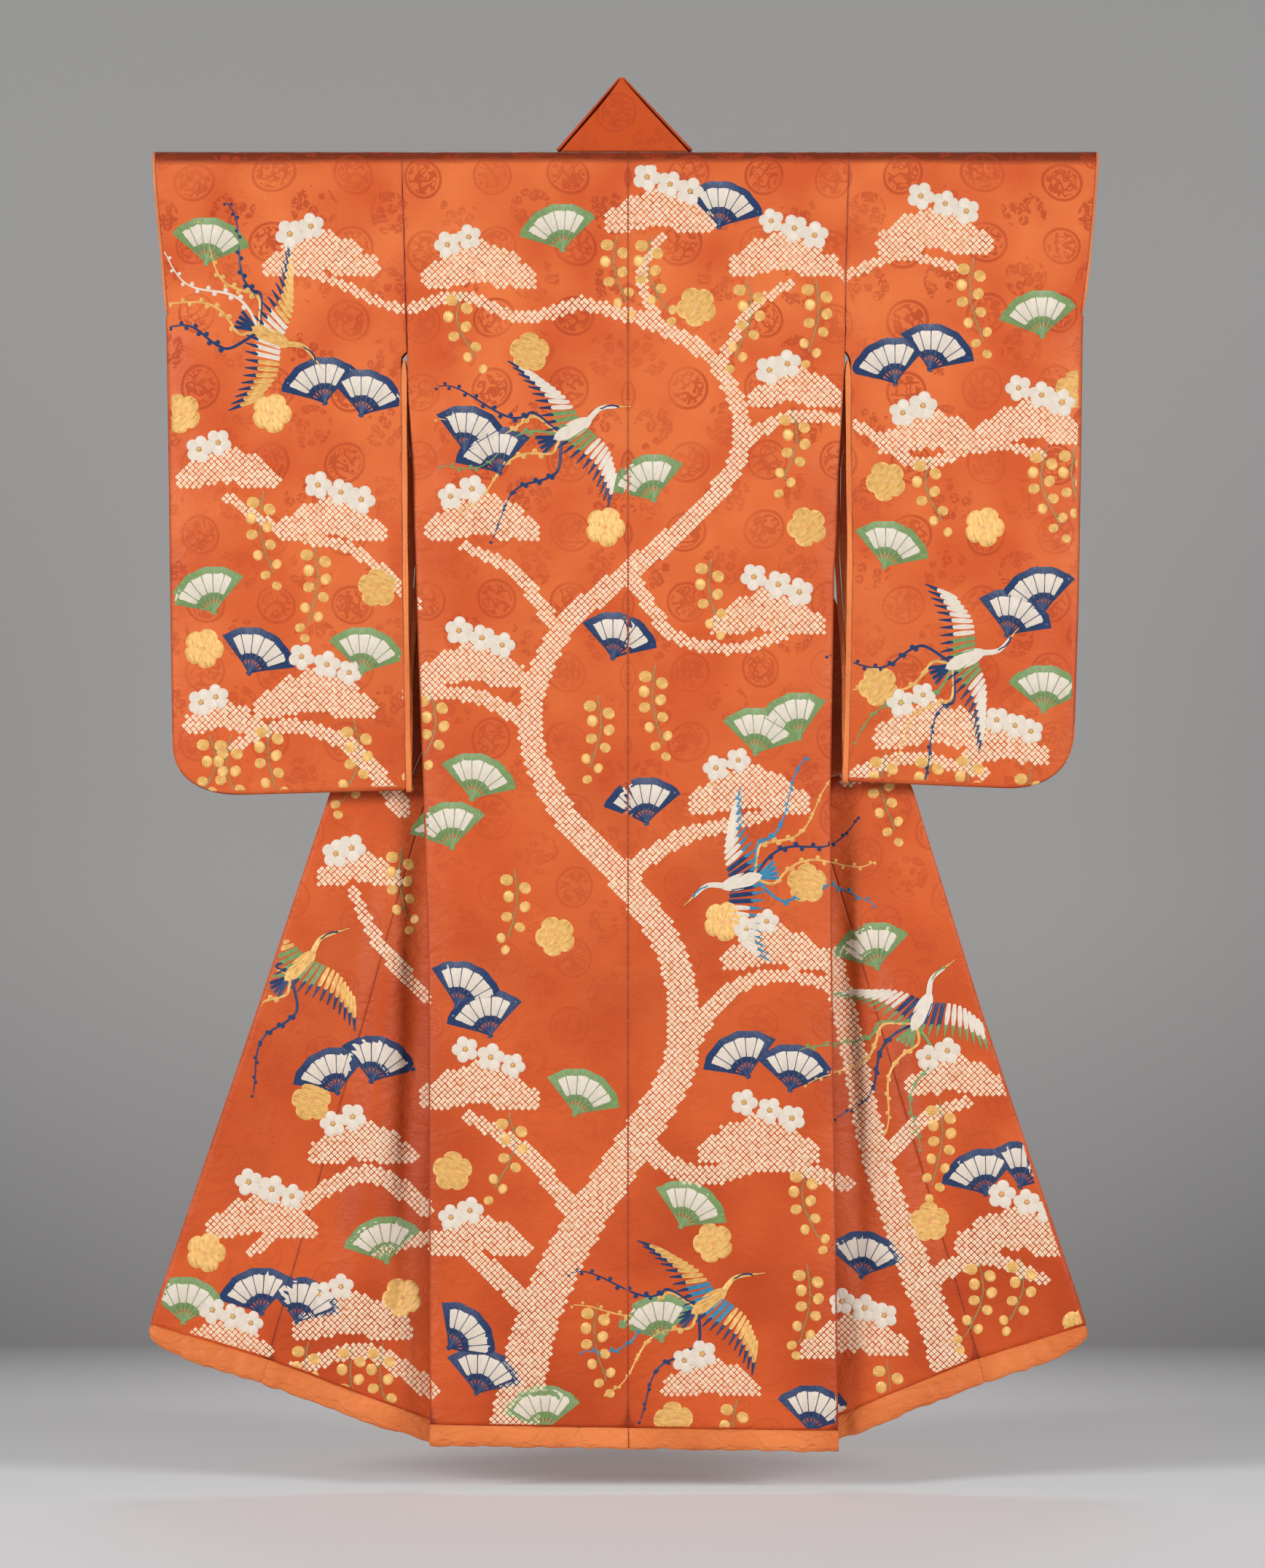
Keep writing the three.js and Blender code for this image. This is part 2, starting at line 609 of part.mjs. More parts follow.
const rod = new THREE.CylinderGeometry(ROD_RADIUS, ROD_RADIUS, ROD_RIGHT - ROD_LEFT, ROD_FACETS);
rod.rotateZ(Math.PI / 2);
add('rod', rod, wood()).position.x = (ROD_LEFT + ROD_RIGHT) / 2;
add('collar_back', collarPeak(), silk());
for (const side of Object.values(SIDES)) {
  add(`body_${side.name}`, bodyLength(side), silk());
  add(`overlap_${side.name}`, overlapPanel(side), silk());
  add(`sleeve_${side.name}`, sleeve(side), silk());
  add(`collar_${side.name}`, collarRun(side), silk());
  add(`hem_back_${side.name}`, backHem(side), lining());
  const edge = read(FRONT_EDGE, 'z', HEM_ROW, side.name);
  add(`hem_front_${side.name}`, frontHem(side, side.foldFoot - TURN_AT_HEM - 1, OKUMI_SEAM + SEAM / 2, false), lining());
  add(`hem_overlap_${side.name}`, frontHem(side, OKUMI_SEAM - SEAM / 2, edge, true), lining());
  add(`sleeve_lining_${side.name}`, furiStrip(side), lining());
  add(`wrist_lining_${side.name}`, wristStrip(side), lining());
}

export default furisode;
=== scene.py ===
# %% [markdown]
# # A furisode on its rod
# A furisode is the long-sleeved silk kimono. It hangs from a round rod with its back to the viewer
# and its two fronts turned outward behind it. The solid model fixes every panel's size and place.
# The cells below sew finer silk over it, with creases, a figured weave, tie-dye and embroidery.

# %% Load the fixed frame
import math

import bpy
import numpy as np
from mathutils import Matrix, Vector


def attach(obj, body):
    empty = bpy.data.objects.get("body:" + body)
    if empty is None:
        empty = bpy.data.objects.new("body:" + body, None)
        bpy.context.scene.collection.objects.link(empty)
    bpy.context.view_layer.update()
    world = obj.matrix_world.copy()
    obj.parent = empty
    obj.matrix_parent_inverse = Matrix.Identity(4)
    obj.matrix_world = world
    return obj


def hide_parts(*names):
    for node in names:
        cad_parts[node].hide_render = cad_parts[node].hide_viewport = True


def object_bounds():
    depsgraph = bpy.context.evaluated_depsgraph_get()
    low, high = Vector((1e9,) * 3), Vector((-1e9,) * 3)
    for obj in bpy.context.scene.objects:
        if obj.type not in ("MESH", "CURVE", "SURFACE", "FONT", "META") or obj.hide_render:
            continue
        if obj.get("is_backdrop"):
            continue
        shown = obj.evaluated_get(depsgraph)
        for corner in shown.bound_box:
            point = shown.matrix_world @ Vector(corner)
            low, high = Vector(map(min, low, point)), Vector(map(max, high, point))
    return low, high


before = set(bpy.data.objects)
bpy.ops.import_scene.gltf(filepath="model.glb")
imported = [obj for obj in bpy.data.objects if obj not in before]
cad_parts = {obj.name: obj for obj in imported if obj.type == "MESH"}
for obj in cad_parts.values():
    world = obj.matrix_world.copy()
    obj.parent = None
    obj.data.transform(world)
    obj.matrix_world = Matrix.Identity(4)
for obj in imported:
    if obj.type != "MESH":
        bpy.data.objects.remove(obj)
cad_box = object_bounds()
MM = 0.001
print("solid model's box, metres:", [[round(v, 4) for v in corner] for corner in cad_box])

# %% [markdown]
# ## Camera
# A long lens far away keeps the hanging cloth square, as a garment is recorded. The lens follows
# from similar triangles: sensor height over focal length is picture height over distance.

# %% Camera
VIEW_DISTANCE = 7.5
PICTURE_HEIGHT = 2.071
SENSOR = 36.0
EYE = (0.0058, -VIEW_DISTANCE, -0.819)
camera = bpy.data.objects.new("camera", bpy.data.cameras.new("camera"))
bpy.context.scene.collection.objects.link(camera)
bpy.context.scene.camera = camera
camera.location = EYE
camera.rotation_euler = (math.pi / 2, 0, 0)
camera.data.sensor_fit = "VERTICAL"
camera.data.sensor_height = SENSOR
camera.data.lens = SENSOR * VIEW_DISTANCE / PICTURE_HEIGHT
print("lens, mm:", round(camera.data.lens, 1))

# %% [markdown]
# ## Sizes of the cut
# All lengths are millimetres. "out" is the distance from the centre line towards a side, so one
# set of formulas serves the left and the right side. Heights are counted from the rod's axis.

# %% Sizes of the cut
WALL = 1.6
SILK = 1.4
SEWN = 0.95
ROLL = 15.1
ARMHOLE_END = -250
SIDE_SEWN = (-300, -420)
WRIST_END = -198
SLEEVE_DROP = 850
COLLAR_END = -850
COLLAR_TOP = 113
NECK_SEAM = 15.75
NECK_ANGLE = 75
LOW_BODY_OPEN = 0.6
SIDE_ROUND = 60
SLEEVE_ROUND = 80
OKUMI_SEAM = 20
HEM_BACK = 27
MIDDLE_HEM = -1669
HEM_FRONT = 32
HEM_THICK = 12
HEM_TAPER = 55
FURI_EDGE = 7
WRIST_EDGE = 3.2
EDGE_THICK = 2.4
CORNER_WIDE = 95
CORNER_POWER = 2.3
SIDES = {
    "left": dict(name="left", sign=-1, neck=91, tip=9.6, foot=256, hem=-1665, corner=-761,
                 sleeve_in=-827.5, sleeve_out=-836),
    "right": dict(name="right", sign=1, neck=81.5, tip=-7.8, foot=251, hem=-1673, corner=-742,
                  sleeve_in=-816, sleeve_out=-829),
}
BODY_EDGE = dict(z=[-1680, -1055, -830, -540, -480, -250, -130, 16],
                 left=[262, 264, 270.6, 281.5, 284, 291.8, 294.7, 298.5],
                 right=[278, 269.6, 267.7, 272.5, 276.5, 286, 287.4, 291.8])
SLEEVE_INNER = dict(z=[-830, -681, -521, -400, -345, -250],
                    left=[286, 288.5, 290.5, 291.3, 291.6, 292.1],
                    right=[283, 287, 289, 287.6, 287, 286.3],
                    front=[0, 4, 16, 13, 4, 0])
SLEEVE_OUTER = dict(z=[-770, -574, -361, -200, -130, -24, 16],
                    left=[602, 605, 607.7, 610.5, 616, 626, 628],
                    right=[589, 595.5, 599, 601, 610, 619, 622])
FRONT_EDGE = dict(z=[-1640, -1200, -900, 113],
                  left=[-143, -120, -105, 9.6], right=[-130, -115, -111, -7.8])
FRONT_HEM = dict(out=[-150, 20, 150, 300],
                 left=[-1643, -1646, -1657, -1667], right=[-1643, -1646, -1658, -1675])
print("cut sizes set for", ", ".join(SIDES))

# %% [markdown]
# ## How the cloth hangs
# Each panel is a surface in closed form. The back stands off by the rod's radius and closes towards
# the hem and the sewn edges. Each front is turned outward along a straight slanting line: past that
# line the flat cloth is mirrored and lies behind, and a half circle of cloth joins the two layers.

# %% Small formulas
def lerp(a, b, t):
    """Straight mix: a at t = 0 and b at t = 1."""
    return a + (b - a) * t


def smooth(x, start, end):
    """Soft step from 0 at start to 1 at end: 3t^2 - 2t^3."""
    t = np.clip((x - start) / (end - start), 0, 1)
    return t * t * (3 - 2 * t)


def paired(*values):
    """Arrays spread to one shape and stacked as the coordinates of points."""
    return np.stack(np.broadcast_arrays(*values), axis=-1)


def run_length(path):
    """Length along a path of points, from 0 at its start."""
    return np.concatenate([[0], np.cumsum(np.linalg.norm(np.diff(path, axis=0), axis=1))])


def unit(vectors):
    """Vectors made 1 long."""
    return vectors / np.maximum(np.linalg.norm(vectors, axis=-1, keepdims=True), 1e-9)


def read(table, place, column, key="z"):
    """A table's column between its rows, in straight lines."""
    return np.interp(place, table[key], table[column])


def creased(rows, x, z):
    """Sum of soft troughs and ridges. Each row is a line from (x0, z0) to (x1, z1), a width and a
    depth: a bell across the line, times the root of a half sine wave along it."""
    total = np.zeros(np.broadcast(x, z).shape)
    for x0, z0, x1, z1, wide, deep in rows:
        run, rise = x1 - x0, z1 - z0
        along = ((x - x0) * run + (z - z0) * rise) / (run * run + rise * rise)
        across = ((x - x0) * rise - (z - z0) * run) / math.hypot(run, rise)
        total += deep * np.sqrt(np.sin(np.pi * np.clip(along, 0, 1))) * np.exp(-(across / wide) ** 2)
    return total


def swell(x, z, seed, height, length):
    """Shallow uneven waves: eight sine waves with seeded directions, mostly upright, and phases."""
    draw = np.random.default_rng(seed)
    total = np.zeros(np.broadcast(x, z).shape)
    for _ in range(8):
        turn, size, phase = draw.normal(0, 0.45), length * draw.uniform(0.5, 1.7), draw.uniform(0, 7)
        total += np.sin((x * math.cos(turn) + z * math.sin(turn)) * 2 * np.pi / size + phase)
    return total * height / 4


# %% Back and sleeves
def openness(z):
    """How open the cloth still is: a quarter circle from 1 at the rod to 0 at the sleeves' foot."""
    return np.sqrt(1 - np.clip(-z / SLEEVE_DROP, 0, 1) ** 2)


def rounded_off(out, edge, distance):
    """A quarter circle that falls from 1 to 0 over a distance before an edge."""
    return np.sqrt(1 - np.clip((out - edge + distance) / distance, 0, 1) ** 2)


def body_depth(side, out, z):
    """Half the depth between the back's and the fronts' middle surfaces."""
    sewn = smooth(-z, -SIDE_SEWN[0], -SIDE_SEWN[1])
    round_edge = lerp(1, rounded_off(out, read(BODY_EDGE, z, side["name"]), SIDE_ROUND), sewn)
    return SEWN + (ROLL - SEWN) * np.maximum(openness(z), LOW_BODY_OPEN) * round_edge


def sleeve_outer(side, z, foot=None):
    """Outer edge of a sleeve, with a superellipse of a corner down to its foot."""
    tall = side["corner"] - (side["sleeve_out"] if foot is None else foot)
    into = np.clip((side["corner"] - z) / tall, 0, 1)
    corner = (1 - into ** CORNER_POWER) ** (1 / CORNER_POWER)
    return read(SLEEVE_OUTER, z, side["name"]) - CORNER_WIDE * (1 - corner)


def sleeve_depth(side, out, z):
    """Half the depth of a sleeve, rounded off to its sewn outer edge."""
    sewn = smooth(-z, -WRIST_END - 30, -WRIST_END + 40)
    return SEWN + (ROLL - SEWN) * openness(z) * lerp(
        1, rounded_off(out, sleeve_outer(side, z), SLEEVE_ROUND), sewn)


# %% The turned-out fronts
TURN_AT_COLLAR = 2
TURN_WIDEST = 10
TURN_AT_HEM = 5
TURN_BULGE = 0.65
FRONT_FOLDS = [  # top and low end, distance from the body's edge at each, width, depth
    (-840, -1560, 6, 46, 20, 13), (-900, -1620, 42, 104, 26, -9), (-1010, -1640, 84, 176, 30, 7),
]


def fold_line(side):
    """Directions along the turn and square to it, and its length."""
    across, down = side["foot"] - side["tip"], side["hem"] - COLLAR_TOP
    length = math.hypot(across, down)
    return np.array([across, down]) / length, np.array([down, -across]) / length, length


def from_fold(side, out, z):
    """Distance past the turn, q, and along it, t."""
    along, inward, _ = fold_line(side)
    dx, dz = out - side["tip"], z - COLLAR_TOP
    return dx * inward[0] + dz * inward[1], dx * along[0] + dz * along[1]


def turn_width(side, t):
    """Half the width of cloth that goes round the turn."""
    length = fold_line(side)[2]
    opened = lerp(TURN_AT_COLLAR, TURN_WIDEST, smooth(t, 0, 300))
    return lerp(opened, TURN_AT_HEM, smooth(t, length - 450, length))


def collar_depth(z):
    """Depth of the standing collar above the rod."""
    return lerp(ROLL, 3, np.clip(z / COLLAR_TOP, 0, 1))


def first_layer(side, out, z):
    """Depth of the fronts' inner layer, which hangs straight down."""
    off_rod = np.where(out < side["neck"], 1.5 * smooth(z, -200, 0), 0)
    return off_rod + np.where(z > 0, collar_depth(z), body_depth(side, out, z))


def fold_push(side, out, z):
    """Deep folds of the turned-out cloth, which run down and away from the body's edge."""
    edge = read(BODY_EDGE, z, side["name"])
    total = 0
    for top, low, start, end, wide, deep in FRONT_FOLDS:
        down = np.clip((top - z) / (top - low), 0, 1)
        across = (out - edge - lerp(start, end, down)) / wide
        total = total + deep * np.sin(np.pi * down) ** 0.7 * np.exp(-across ** 2)
    return total


def second_layer(side, out, z, t):
    """Depth of the fronts' outer layer, where it runs outward behind the back."""
    hang = np.where(z > 0, collar_depth(z), lerp(ROLL, 17, smooth(-z, 0, 900)))
    return hang + lerp(3.2, 12, smooth(t, 0, 300)) + fold_push(side, out, z)


def mirrored(side, out, z):
    """Swaps a point of the flat front with the place where it hangs: a mirror in the turn's line."""
    _, inward, _ = fold_line(side)
    q, _ = from_fold(side, out, z)
    return out - 2 * q * inward[0], z - 2 * q * inward[1]


def middle_drop(side, out, z):
    """How far the back's hem drops or rises towards the seam in its middle, faded out upwards."""
    share = 1 - np.clip(out / read(BODY_EDGE, side["hem"], side["name"]), 0, 1)
    return (MIDDLE_HEM - side["hem"]) * share * smooth(-z, 1250, -side["hem"])


def collar_seam(side, z):
    """Seam of the collar on the flat front."""
    slope = (side["tip"] - read(FRONT_EDGE, -900, side["name"])) / (COLLAR_TOP + 900)
    return side["neck"] - slope * (NECK_SEAM - z)


print("turn of the left front, mm:", round(fold_line(SIDES["left"])[2]))

# %% [markdown]
# ## Colour and shader nodes
# Colours are written as screen hex codes and turned linear once. One function adds every node: its
# options are keywords, its inputs are numbers, colours or the outputs of earlier nodes.

# %% Colour and shader nodes
def linear(code):
    """Hex screen colour to linear light, by the standard curve of each channel."""
    screen = np.array([int(code[i:i + 2], 16) for i in (1, 3, 5)]) / 255
    curve = np.where(screen <= 0.04045, screen / 12.92, ((screen + 0.055) / 1.055) ** 2.4)
    return (*curve.tolist(), 1.0)


def add(tree, kind, *values, out=0, named=None, **settings):
    """Adds a shader node and returns one of its outputs. Values fill its inputs in order, with None
    to skip one, and named fills them by name or number. Outputs are linked, the rest is set."""
    made = tree.nodes.new("ShaderNode" + kind)
    for option, value in settings.items():
        setattr(made, option, value)
    for key, value in [*enumerate(values), *(named or {}).items()]:
        if isinstance(value, bpy.types.NodeSocket):
            tree.links.new(value, made.inputs[key])
        elif value is not None:
            made.inputs[key].default_value = value
    return made.outputs[out]


def material(name, shade, **fixed):
    """A material whose base colour, roughness and normal come from shade(tree). Uniform values stay
    on the shader's own sockets."""
    made = bpy.data.materials.new(name)
    made.use_nodes = True
    shader = made.node_tree.nodes["Principled BSDF"]
    for socket, value in fixed.items():
        shader.inputs[socket.replace("_", " ")].default_value = value
    for socket, value in shade(made.node_tree).items():
        made.node_tree.links.new(value, shader.inputs[socket.replace("_", " ")])
    return made


def scaled(tree, along_u, along_v):
    """The piece's own cloth coordinates in metres, stretched by two factors."""
    uv = add(tree, "UVMap", uv_map="cloth")
    return add(tree, "VectorMath", uv, (along_u, along_v, 1), operation="MULTIPLY")


# %% [markdown]
# ## Figured satin silk
# Rinzu is a satin weave whose ground shows the warp and whose roundels show the weft, so the figures
# look a shade deeper and less glossy than the ground. Two kinds of roundel, a ring with a leaf scroll
# and a cluster of small flowers, repeat on staggered lattices that drift a little. The cloth is old:
# it is finely crinkled all over, puckered along its seams, and its dye is uneven.

# %% Figured satin silk
ROUNDEL_PITCH = (98, 93)
HALF_PITCH = (49, 46.5)
ROUNDEL_DRIFT = 40
RING_RADIUS, RING_HALF = 25.0, 2.0
FIGURE_FADE = (-1.25, -0.35)


def roundel(tree, shift, draw):
    """The distance from the nearest point of a drifting lattice, in millimetres, passed on to draw."""
    drift = add(tree, "TexNoise", scaled(tree, 4, 4), out=1, named={"Scale": 1.0, "Detail": 0.0})
    drift = add(tree, "VectorMath", drift, (ROUNDEL_DRIFT, ROUNDEL_DRIFT, 0), operation="MULTIPLY")
    moved = add(tree, "VectorMath", scaled(tree, 1000, 1000), (*shift, 0), operation="ADD")
    moved = add(tree, "VectorMath", moved, drift, operation="ADD")
    half_x, half_y = HALF_PITCH
    cell = add(tree, "VectorMath", moved, (half_x, half_y, 1), (-half_x, -half_y, -1), operation="WRAP")
    return draw(tree, add(tree, "VectorMath", cell, operation="LENGTH", out=1))


def ring_and_scroll(tree, radius):
    """A ring, and inside it a scroll of leaves: the places where a noise is near its middle value."""
    ring = add(tree, "Math", radius, RING_RADIUS, RING_HALF, operation="COMPARE")
    scroll = None
    for scale, middle, width in ((62.0, 0.5, 0.05), (115.0, 0.6, 0.06)):
        noise = add(tree, "TexNoise", scaled(tree, 1, 1), named={"Scale": scale, "Detail": 0.5})
        line = add(tree, "Math", noise, middle, width, operation="COMPARE")
        scroll = line if scroll is None else add(tree, "Math", scroll, line, operation="MAXIMUM")
    near = add(tree, "Math", radius, RING_RADIUS - 4, operation="LESS_THAN")
    scroll = add(tree, "Math", scroll, near, operation="MULTIPLY")
    return add(tree, "Math", ring, scroll, operation="MAXIMUM")


def flower_cluster(tree, radius):
    """Small round flowers packed in a disc: a ring and a heart about each point of a cell pattern."""
    cells = add(tree, "TexVoronoi", scaled(tree, 1, 1), named={"Scale": 78.0, "Randomness": 0.85})
    petals = add(tree, "Math", cells, 0.37, 0.17, operation="COMPARE")
    heart = add(tree, "Math", cells, 0.15, operation="LESS_THAN")
    spoke = add(tree, "TexNoise", scaled(tree, 1, 1), named={"Scale": 260.0, "Detail": 0.0})
    spoke = add(tree, "Math", spoke, 0.38, operation="GREATER_THAN")
    petals = add(tree, "Math", petals, spoke, operation="MULTIPLY")
    near = add(tree, "Math", radius, RING_RADIUS + 3, operation="LESS_THAN")
    flowers = add(tree, "Math", petals, heart, operation="MAXIMUM")
    return add(tree, "Math", flowers, near, operation="MULTIPLY")


def figures(tree):
    """Both lattices together, clear near the shoulders, faint lower down and worn in patches."""
    rings = roundel(tree, (0, 0), ring_and_scroll)
    flowers = roundel(tree, HALF_PITCH, flower_cluster)
    both = add(tree, "Math", rings, flowers, operation="MAXIMUM")
    place = add(tree, "SeparateXYZ", add(tree, "TexCoord", out="Object"), out=2)
    fade = add(tree, "MapRange", place, *FIGURE_FADE, 0.3, 1.0)
    worn = add(tree, "TexNoise", add(tree, "TexCoord", out="Object"), named={"Scale": 9.0, "Detail": 2.0})
    wear = add(tree, "MapRange", worn, 0.38, 0.6, 0.35, 1.0)
    both = add(tree, "Math", both, fade, operation="MULTIPLY")
    return add(tree, "Math", both, wear, operation="MULTIPLY")


def crinkle(tree, amount, thread):
    """Bump of worn silk: ridged noise for the crinkles, stretched noise for the weave, and ripples
    across the seams where the piece's seam attribute is high. Heights are in metres."""
    total = None
    for scale, height in ((13.0, 0.0022), (47.0, 0.0011)):
        noise = add(tree, "TexNoise", scaled(tree, 1.0, 1.5), named={
            "Scale": scale, "Detail": 2.0, "Roughness": 0.55, "Distortion": 0.9})
        ridge = add(tree, "Math", noise, 0.5, operation="SUBTRACT")
        ridge = add(tree, "Math", ridge, operation="ABSOLUTE")
        ridge = add(tree, "Math", ridge, -height * amount * 2, operation="MULTIPLY")
        total = ridge if total is None else add(tree, "Math", total, ridge, operation="ADD")
    noise = add(tree, "TexNoise", scaled(tree, 60, 700), named={"Scale": 1.0, "Detail": 0.0})
    total = add(tree, "Math", noise, thread, total, operation="MULTIPLY_ADD")
    ripple = add(tree, "TexNoise", scaled(tree, 9, 75), named={"Scale": 1.0, "Detail": 1.5})
    near = add(tree, "Attribute", attribute_name="seam", out="Fac")
    pucker = add(tree, "Math", ripple, near, operation="MULTIPLY")
    total = add(tree, "Math", pucker, 0.0024, total, operation="MULTIPLY_ADD")
    return add(tree, "Bump", named={"Strength": 1.0, "Distance": 1.0, "Height": total})


def uneven(tree, pale, deep, scale=5.0, low=0.36, high=0.64):
    """Two dye tones mixed by large soft noise."""
    noise = add(tree, "TexNoise", add(tree, "TexCoord", out="Object"), named={
        "Scale": scale, "Detail": 2.0, "Roughness": 0.6})
    share = add(tree, "MapRange", noise, low, high, 0.0, 1.0)
    return add(tree, "Mix", named={0: share, 6: pale, 7: deep}, out=2, data_type="RGBA")


def silk_shade(tree):
    """Orange-red ground, paler and yellower towards the shoulders, with deeper figures. Painted shade
    darkens the top of the bend over the rod, along an uneven line, and the standing collar. A seam is
    a thin dark line where its attribute is nearly 1."""
    low = uneven(tree, linear("#cd5724"), linear("#b44114"))
    high = uneven(tree, linear("#de7039"), linear("#cc5626"), scale=7.0)
    place = add(tree, "SeparateXYZ", add(tree, "TexCoord", out="Object"), out=2)
    share = add(tree, "MapRange", place, -1.5, -0.2, 0.0, 1.0)
    ground = add(tree, "Mix", named={0: share, 6: low, 7: high}, out=2, data_type="RGBA")
    # painted shade: the top of the roll over the rod turns dark red along an uneven line
    wavy = add(tree, "TexNoise", scaled(tree, 3, 3), named={"Scale": 1.0, "Detail": 2.0})
    wavy = add(tree, "Math", wavy, 0.012, place, operation="MULTIPLY_ADD")
    bent = add(tree, "MapRange", wavy, 0.0035, 0.0115, 0.0, 0.9)
    ground = add(tree, "Mix", named={0: bent, 6: ground, 7: linear("#6c220a")}, out=2, data_type="RGBA")
    # painted shade: the standing collar above the rod is made darker
    painted_collar_shade = add(tree, "MapRange", place, 0.0155, 0.018, 0.0, 1.0)
    ground = add(tree, "Mix", named={0: painted_collar_shade, 6: ground, 7: linear("#c24a14")}, out=2, data_type="RGBA")
    near = add(tree, "Attribute", attribute_name="seam", out="Fac")
    seam = add(tree, "Math", add(tree, "Math", near, 9.0, operation="POWER"), 0.75, operation="MULTIPLY")
    ground = add(tree, "Mix", named={0: seam, 6: ground, 7: linear("#7c2408")}, out=2, data_type="RGBA")
    mask = figures(tree)
    tone = add(tree, "Math", mask, 0.68, operation="MULTIPLY")
    colour = add(tree, "Mix", named={0: tone, 6: ground, 7: linear("#aa3a17")}, out=2, data_type="RGBA")
    rough = add(tree, "MapRange", mask, 0.0, 1.0, 0.52, 0.64)
    return dict(Base_Color=colour, Roughness=rough, Normal=crinkle(tree, 1.0, 0.00022))


def lining_shade(tree):
    """Plain silk of a yellower orange, softly uneven."""
    colour = uneven(tree, linear("#e58246"), linear("#d46f36"), scale=8.0)
    rough = add(tree, "MapRange", add(tree, "TexNoise", scaled(tree, 8, 8)), 0.3, 0.7, 0.46, 0.56)
    return dict(Base_Color=colour, Roughness=rough, Normal=crinkle(tree, 1.9, 0.00018))


SILK_SHEEN = dict(Sheen_Weight=0.12, Sheen_Roughness=0.35, Specular_IOR_Level=0.26)
figured_silk = material("figured_satin_silk", silk_shade, **SILK_SHEEN)
lining_silk = material("plain_silk_lining", lining_shade, **SILK_SHEEN)
print("silks:", figured_silk.name, lining_silk.name)


# %% [markdown]
# ## Tie-dye, floss and gold thread
# Kanoko is tie-dye: each bound point stays cream and stands up as a small soft square. Satin stitch
# lays glossy untwisted floss side by side, and couched gold is a gilt thread stitched down in rows.
# A real thread is about 0.3 mm; it is drawn near 1 mm wide here, so that it shows.

# %% Tie-dye, floss and gold thread
THREAD = 0.0010


def dyed_shade(tree):
    """Cream with traces of the orange dye, uneven from one bound point to the next."""
    tone = uneven(tree, linear("#efe2c5"), linear("#e6c69e"), scale=110.0, low=0.45, high=0.75)
    return dict(Base_Color=tone)


def core_shade(tree):
    """The dyed middle of a bound point, paler than the ground."""
    return dict(Base_Color=uneven(tree, linear("#eab07c"), linear("#e08c52"), scale=110.0))


def floss_shade(pale, deep):
    """Threads along the piece's u direction: a wave across v, broken up by stretched noise."""
    def shade(tree):
        streak = add(tree, "TexNoise", scaled(tree, 60, 900), named={"Scale": 1.0, "Detail": 2.0})
        share = add(tree, "MapRange", streak, 0.35, 0.65, 0.0, 1.0)
        patch = add(tree, "TexNoise", scaled(tree, 150, 150), named={"Scale": 1.0, "Detail": 0.0})
        share = add(tree, "Math", patch, share, operation="MULTIPLY")
        colour = add(tree, "Mix", named={0: share, 6: linear(pale), 7: linear(deep)}, out=2,
                     data_type="RGBA")
        wave = add(tree, "TexWave", scaled(tree, 1, 1), out=1, bands_direction="Y",
                   named={"Scale": 0.314 / THREAD, "Distortion": 0.6})
        height = add(tree, "Math", wave, 0.00022, operation="MULTIPLY")
        height = add(tree, "Math", streak, 0.0004, height, operation="MULTIPLY_ADD")
        return dict(Base_Color=colour, Normal=add(tree, "Bump", named={"Distance": 1.0, "Height": height}))
    return shade


FLOSS = dict(white=("#ecdfce", "#d6c6b4"), navy=("#1c3a6b", "#10233f"), blue=("#3d8fb5", "#1f6488"),
             green=("#83a063", "#5d7c48"))
threads = {
    "dyed": material("kanoko_dyed_silk", dyed_shade, Roughness=0.65),
    "core": material("kanoko_dyed_core", core_shade, Roughness=0.65),
}
for name, tones in FLOSS.items():
    threads[name] = material(f"{name}_silk_floss", floss_shade(*tones), Roughness=0.38,
                             Sheen_Weight=0.2, Sheen_Roughness=0.3)
threads["gold"] = material("couched_gold_thread", floss_shade("#fcc873", "#a8621e"), Roughness=0.36,
                           Metallic=0.15)
print("threads:", ", ".join(threads))


# %% [markdown]
# ## Sewing grids into cloth
# A panel is a grid of points on its outer face. Grids that share an edge are merged there, so a
# length of cloth runs unbroken up the back, over the rod and down the front. Solidify then gives it
# a wall on its inner side, and the inner side takes the lining.

# %% Sewing grids into cloth
def build(name, points, quads, corners, finishes, finish_index=None, seam=None):
    """One mesh from points in mm, quads of point numbers and the cloth coordinates of their corners.
    Points at one place are merged. A corner that repeats the one before it is dropped, so a quad
    with a closed edge becomes a triangle."""
    _, first, same = np.unique(np.round(points, 3), axis=0, return_index=True, return_inverse=True)
    quads = same.reshape(-1)[quads]
    keep = quads != np.roll(quads, 1, axis=1)
    whole = keep.sum(axis=1) > 2
    quads, corners, keep = quads[whole], corners[whole], keep[whole]
    totals = keep.sum(axis=1)
    mesh = bpy.data.meshes.new(name)
    mesh.vertices.add(len(first))
    mesh.vertices.foreach_set("co", (points[first] * MM).ravel())
    mesh.loops.add(int(totals.sum()))
    mesh.loops.foreach_set("vertex_index", quads[keep])
    mesh.polygons.add(len(quads))
    mesh.polygons.foreach_set("loop_start", np.cumsum(totals) - totals)
    mesh.polygons.foreach_set("use_smooth", np.ones(len(quads), bool))
    if finish_index is not None:
        mesh.polygons.foreach_set("material_index", finish_index[whole])
    mesh.uv_layers.new(name="cloth").data.foreach_set("uv", (corners[keep] * MM).ravel())
    if seam is not None:
        mesh.attributes.new("seam", "FLOAT", "POINT").data.foreach_set("value", seam[first])
    mesh.update(calc_edges=True)
    mesh.validate()
    for finish in finishes:
        mesh.materials.append(finish)
    made = bpy.data.objects.new(name, mesh)
    bpy.context.scene.collection.objects.link(made)
    return made


